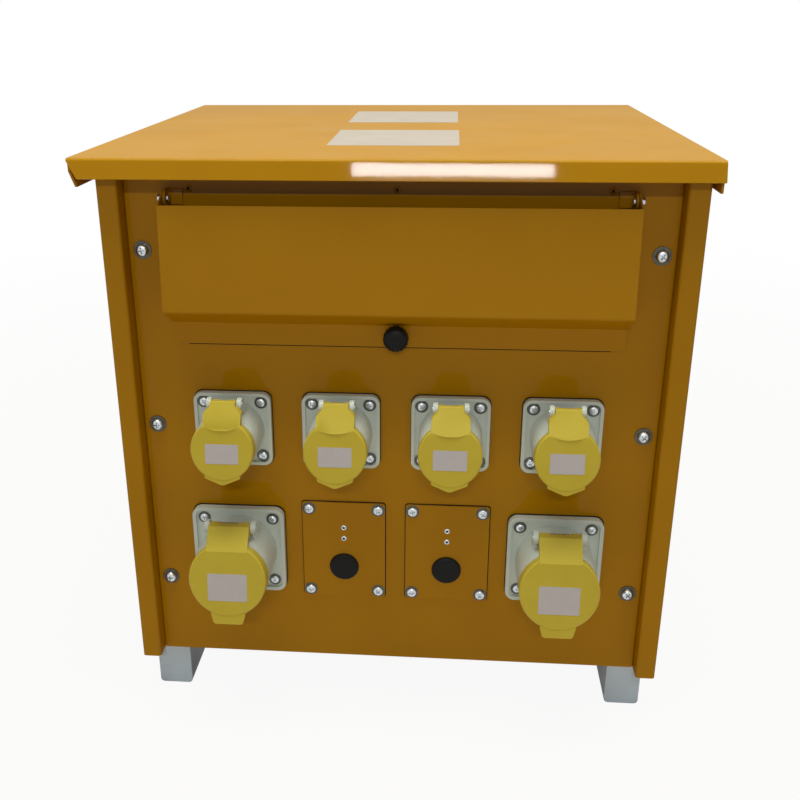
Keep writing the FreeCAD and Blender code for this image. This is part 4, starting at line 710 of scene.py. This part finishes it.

# %% [markdown]
# A blind rivet keeps a hole in its low head with the stub of its pin inside, where the pin
# broke off. The stub is real, and its near black colour is painted shade in the hole. The two
# on each cover plate show it plainly.

# %% Rivets
def blind_rivet(head_radius, head_height, radius, length, tail):
    """Low head on Z = 0 with a hole, its barrel below, and the swollen end behind."""
    r, h = head_radius, head_height
    profile = [(0.0, -0.6 * h), (0.42 * r, -0.6 * h), (0.44 * r, 0.86 * h), (0.52 * r, h),
               (0.78 * r, 0.82 * h), (0.95 * r, 0.42 * h), (r, 0.0), (radius, -0.01),
               (radius, -length), (radius + 0.6, -length), (radius + 0.6, -length - tail),
               (0.0, -length - tail)]
    return turned(profile, steps=28)


def rivet_piece(node, head_height, radius, tail):
    """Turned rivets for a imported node, and the pin stub in each."""
    boxes = solids(node)
    low, high = boxes[0]
    head_radius = (high.x - low.x) / (2.0 * mm)
    length = (high.y - low.y) / mm - head_height - tail
    shape = blind_rivet(head_radius, head_height, radius, length, tail)
    places = front_places(boxes, head_height)
    link_piece(node + "_turned", repeated(shape, places), body_of[node], slot_of[node],
               (node,))
    # The stub's near black finish is painted shade in the rivet's hole.
    stub = turned([(0.0, 0.45 * head_height), (0.38 * head_radius, 0.35 * head_height),
                   (0.38 * head_radius, -0.5 * head_height), (0.0, -0.5 * head_height)],
                  steps=20)
    link_piece(node + "_pins", repeated(stub, places), body_of[node], slot_of[node],
               material=shaded_pin_steel)


rivet_piece("cover_plate_rivets", 1.0, 2.0, 2.0)
rivet_piece("bracket_rivets", 1.2, 2.0, 2.0)

# %% [markdown]
# The blanking plugs are pushed-in mouldings: a low crown with a rounded rim, a faint ring
# where the gate was trimmed, and a hollow skirt behind the plate.

# %% Blanking plugs
plug_boxes = solids("blanking_plugs")
plug_low, plug_high = plug_boxes[0]
plug_radius = (plug_high.x - plug_low.x) / (2.0 * mm)
crown_height, skirt_radius, skirt_wall = 3.0, 12.5, 1.6
plug_depth = (plug_high.y - plug_low.y) / mm - crown_height
plug_profile = [(0.0, 2.7), (2.2, 2.7), (2.6, 2.45), (3.0, 2.75), (8.0, 2.95),
                (11.2, crown_height), (12.6, 2.75), (13.4, 2.1), (plug_radius, 1.1),
                (plug_radius, 0.25),
                (plug_radius - 0.25, 0.0), (skirt_radius, 0.0), (skirt_radius, -plug_depth),
                (skirt_radius - skirt_wall, -plug_depth), (skirt_radius - skirt_wall, 0.4),
                (0.0, 0.4)]
link_piece("blanking_plugs_moulded",
           repeated(turned(plug_profile, steps=56), front_places(plug_boxes, crown_height)),
           body_of["blanking_plugs"], slot_of["blanking_plugs"], ("blanking_plugs",))

# %% [markdown]
# The knob is the one thing a hand turns to open the flap. Its rim has shallow flutes for
# the fingers. They are made by drawing each ring of the spun rim in and out a little.

# %% Knob
knob_boxes = solids("flap_knob")
knob_low, knob_high = knob_boxes[0]
knob_radius = (knob_high.x - knob_low.x) / (2.0 * mm)
knob_reach = (knob_high.y - knob_low.y) / mm
neck_radius, neck_height, flutes, flute_depth, bore = 7.0, 3.0, 18, 0.55, 2.5
knob_profile = [(0.0, knob_reach), (4.0, knob_reach - 0.25), (7.2, knob_reach - 0.95),
                (9.2, knob_reach - 1.9), (10.3, knob_reach - 2.9),
                (knob_radius, knob_reach - 4.3), (knob_radius, neck_height + 1.2),
                (10.5, neck_height + 0.4), (9.8, neck_height), (neck_radius, neck_height),
                (neck_radius, 0.0), (bore, 0.0), (bore, knob_reach - 6.0),
                (0.0, knob_reach - 6.0)]
knob_bm = turned(knob_profile, steps=flutes * 6)
for vert in knob_bm.verts:
    radius = math.hypot(vert.co.x, vert.co.y) / mm
    if radius > 9.5:
        wave = 0.5 - 0.5 * math.cos(flutes * math.atan2(vert.co.y, vert.co.x))
        share = 1.0 - flute_depth * wave * min(1.0, radius - 9.5) / radius
        vert.co.x *= share
        vert.co.y *= share
link_piece("flap_knob_fluted", repeated(knob_bm, front_places(knob_boxes, knob_reach)),
           body_of["flap_knob"], slot_of["flap_knob"], ("flap_knob",))

# %% [markdown]
# Each socket lid is shut by a coil spring round its hinge pin. A small circle of wire is
# spun round the pin's line with a step along it at each turn, which winds the coil.

# %% Lid springs
wire_radius, wire_sides, steps_a_turn, pitch_in_wires = 0.72 * mm, 8, 18, 2.15


def coil(mean_radius, length):
    """Wire wound round X about the origin, as long as the spring."""
    bm = bmesh.new()
    bmesh.ops.create_circle(bm, cap_ends=True, segments=wire_sides, radius=wire_radius)
    bmesh.ops.translate(bm, verts=bm.verts,
                        vec=(wire_radius - length / 2.0, mean_radius, 0.0))
    run = length - 2.0 * wire_radius
    turns = round(run / (pitch_in_wires * wire_radius))
    steps = turns * steps_a_turn
    bmesh.ops.spin(bm, geom=bm.verts[:] + bm.edges[:] + bm.faces[:], cent=(0.0, 0.0, 0.0),
                   axis=(1.0, 0.0, 0.0), dvec=(run / steps, 0.0, 0.0),
                   angle=turns * math.tau, steps=steps, use_merge=False)
    bmesh.ops.recalc_face_normals(bm, faces=bm.faces)
    return bm


springs = bmesh.new()
for low, high in solids("socket_lid_springs"):
    winding = coil((high.z - low.z) / 2.0 - wire_radius, high.x - low.x)
    bmesh.ops.translate(winding, verts=winding.verts, vec=(low + high) / 2.0)
    pattern = bpy.data.meshes.new("winding")
    winding.to_mesh(pattern)
    winding.free()
    springs.from_mesh(pattern)
    bpy.data.meshes.remove(pattern)
link_piece("socket_lid_springs_wound", springs, body_of["socket_lid_springs"],
           slot_of["socket_lid_springs"], ("socket_lid_springs",))

# %% [markdown]
# The cable gland in the back wall is a hexagon body and a dome nut with grip ribs. The
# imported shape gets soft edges, and one rib, eased the same way, is repeated round the nut.

# %% Cable gland
bm = welded_copy("cable_gland")
ease_edges(bm, 0.5 * mm)
link_piece("cable_gland_eased", bm, body_of["cable_gland"], slot_of["cable_gland"],
           ("cable_gland",))
gland_low, gland_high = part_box("cable_gland")
rib_count, rib_radius, rib_width, rib_length, rib_height = 20, 18.0, 1.6, 15.0, 1.4
nut_middle = 12.5
bm = bmesh.new()
bmesh.ops.create_cube(bm, size=1.0)
bmesh.ops.scale(bm, vec=(rib_width * mm, rib_length * mm, rib_height * mm), verts=bm.verts)
ease_edges(bm, 0.35 * mm)
middle = Vector(((gland_low[0] + gland_high[0]) / 2.0, gland_high[1] - nut_middle * mm,
                 (gland_low[2] + gland_high[2]) / 2.0))
spokes = [Matrix.Translation(middle)
          @ Matrix.Rotation(math.tau * index / rib_count, 4, "Y")
          @ Matrix.Translation((0.0, 0.0, rib_radius * mm)) for index in range(rib_count)]
link_piece("cable_gland_ribs", repeated(bm, spokes), body_of["cable_gland"],
           slot_of["cable_gland"])

# %% [markdown]
# Labels are plain film with rounded corners, stuck on and left bare. Two are on the lid and
# one is on each socket lid. Film is about a tenth of a millimetre thick: enough for its
# edge to show, not enough to cast a shadow.

# %% Labels
film = 0.12


def label_sheet(width, height, corner):
    """Rounded plate in millimetres, lying on Z = 0."""
    bm = bmesh.new()
    bmesh.ops.create_cube(bm, size=1.0)
    bmesh.ops.scale(bm, vec=(width * mm, height * mm, film * mm), verts=bm.verts)
    bmesh.ops.translate(bm, vec=(0.0, 0.0, film * mm / 2.0), verts=bm.verts)
    upright = [edge for edge in bm.edges
               if abs(edge.verts[0].co.z - edge.verts[1].co.z) > film * mm / 2.0]
    bmesh.ops.bevel(bm, geom=upright, offset=corner * mm, offset_type="OFFSET", segments=5,
                    profile=0.5, affect="EDGES", clamp_overlap=True, material=-1)
    return bm


lid_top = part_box("lid")[1][2]
for name, x, y, width, depth in (("lid_label_back", -2.5, 108.5, 115.0, 122.0),
                                 ("lid_label_front", -2.0, -85.5, 116.0, 122.0)):
    bm = label_sheet(width, depth, 2.0)
    bmesh.ops.translate(bm, vec=(x * mm, y * mm, lid_top), verts=bm.verts)
    link_piece(name, bm, "root", "socket_grey", material=label_white)

# %% [markdown]
# A socket lid's face leans 8 degrees, so its label is laid on the face by the same turn.
# Its place is measured from the panel and from the middle of the socket's housing.

# %% Labels on the socket lids
lid_tilt = math.radians(8.0)
panel_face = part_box("front_panel")[0][1]
lid_kinds = {"socket_16a": (58.0, 1.0, 29.0, 17.7, -3.2),
             "socket_32a": (66.0, 0.5, 36.0, 26.3, -7.0)}
for kind, (reach, rise, width, height, along) in lid_kinds.items():
    for housing in sorted(name for name in nodes
                          if name.startswith(kind) and name.endswith("_housing")):
        low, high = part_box(housing)
        half = (high[0] - low[0]) / 2.0
        middle = Vector((low[0] + half, panel_face - reach * mm, low[2] + half + rise * mm))
        face = Matrix.Rotation(math.radians(90.0) - lid_tilt, 4, "X")
        lid_name = housing.replace("_housing", "_lid")
        bm = label_sheet(width, height, 1.0)
        bmesh.ops.translate(bm, vec=(0.0, along * mm, 0.0), verts=bm.verts)
        bmesh.ops.transform(bm, matrix=Matrix.Translation(middle) @ face, verts=bm.verts)
        link_piece(lid_name + "_label", bm, body_of[lid_name], "socket_grey",
                   material=label_silver)

# %% [markdown]
# A dark line runs round each cover plate: painted shadow in the gap between plate and panel,
# made as a thin black rubber slab behind the plate's edge. It is a slab a little wider than
# the plate with its middle taken away, so only the line that shows is made. Inset makes the
# inner loop and bridge joins front to back.

# %% Cover plate shadow lines: painted shade
shade_line_margin, shade_line_thickness, shade_line_corner = 0.7, 0.6, 3.0
for plate in ("cover_plate_left", "cover_plate_right"):
    low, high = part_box(plate)
    bm = bmesh.new()
    bmesh.ops.create_cube(bm, size=1.0)
    bmesh.ops.scale(bm, verts=bm.verts,
                    vec=(high[0] - low[0] + 2.0 * shade_line_margin * mm, shade_line_thickness * mm,
                         high[2] - low[2] + 2.0 * shade_line_margin * mm))
    across = [edge for edge in bm.edges
              if abs(edge.verts[0].co.y - edge.verts[1].co.y) > shade_line_thickness * mm / 2.0]
    bmesh.ops.bevel(bm, geom=across, offset=shade_line_corner * mm, offset_type="OFFSET",
                    segments=5, profile=0.5, affect="EDGES", clamp_overlap=True,
                    material=-1)
    ends = [face for face in bm.faces if abs(face.normal.y) > 0.9]
    bmesh.ops.inset_region(bm, faces=ends, thickness=shade_line_margin * mm,
                           use_even_offset=True)
    ends = [face for face in ends if face.is_valid]
    rims = [edge for face in ends for edge in face.edges]
    bmesh.ops.delete(bm, geom=ends, context="FACES_ONLY")
    bmesh.ops.bridge_loops(bm, edges=rims)
    bmesh.ops.recalc_face_normals(bm, faces=bm.faces)
    middle = ((low[0] + high[0]) / 2.0, high[1] - shade_line_thickness * mm / 2.0,
              (low[2] + high[2]) / 2.0)
    bmesh.ops.translate(bm, vec=middle, verts=bm.verts)
    # The black rubber edge stands in for the shadow round the plate.
    link_piece(plate + "_shade_line", bm, body_of[plate], "rubber")

# %% [markdown]
# A thin black strip sits behind the flap's flat lip, between lip and panel. Its lower edge
# shows as a dark line under the lip, which is painted shadow, and it swings with the flap.

# %% Painted shadow line under the flap lip
strip_above, strip_below, strip_inset = 3.0, 1.2, 12.0
flap_gap, panel_clearance = 0.5, 0.15
flap_low, flap_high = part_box("flap")
lip_back = panel_face - flap_gap * mm
strip_depth = flap_gap - panel_clearance
bm = bmesh.new()
bmesh.ops.create_cube(bm, size=1.0)
bmesh.ops.scale(bm, verts=bm.verts,
                vec=(flap_high[0] - flap_low[0] - 2.0 * strip_inset * mm,
                     strip_depth * mm, (strip_above + strip_below) * mm))
ease_edges(bm, 0.2 * mm)
bmesh.ops.translate(bm, verts=bm.verts,
                    vec=((flap_low[0] + flap_high[0]) / 2.0,
                         lip_back + strip_depth * mm / 2.0,
                         flap_low[2] + (strip_above - strip_below) * mm / 2.0))
# The black rubber strip stands in for the shadow under the lip.
link_piece("flap_lip_shade_line", bm, body_of["flap"], "rubber")
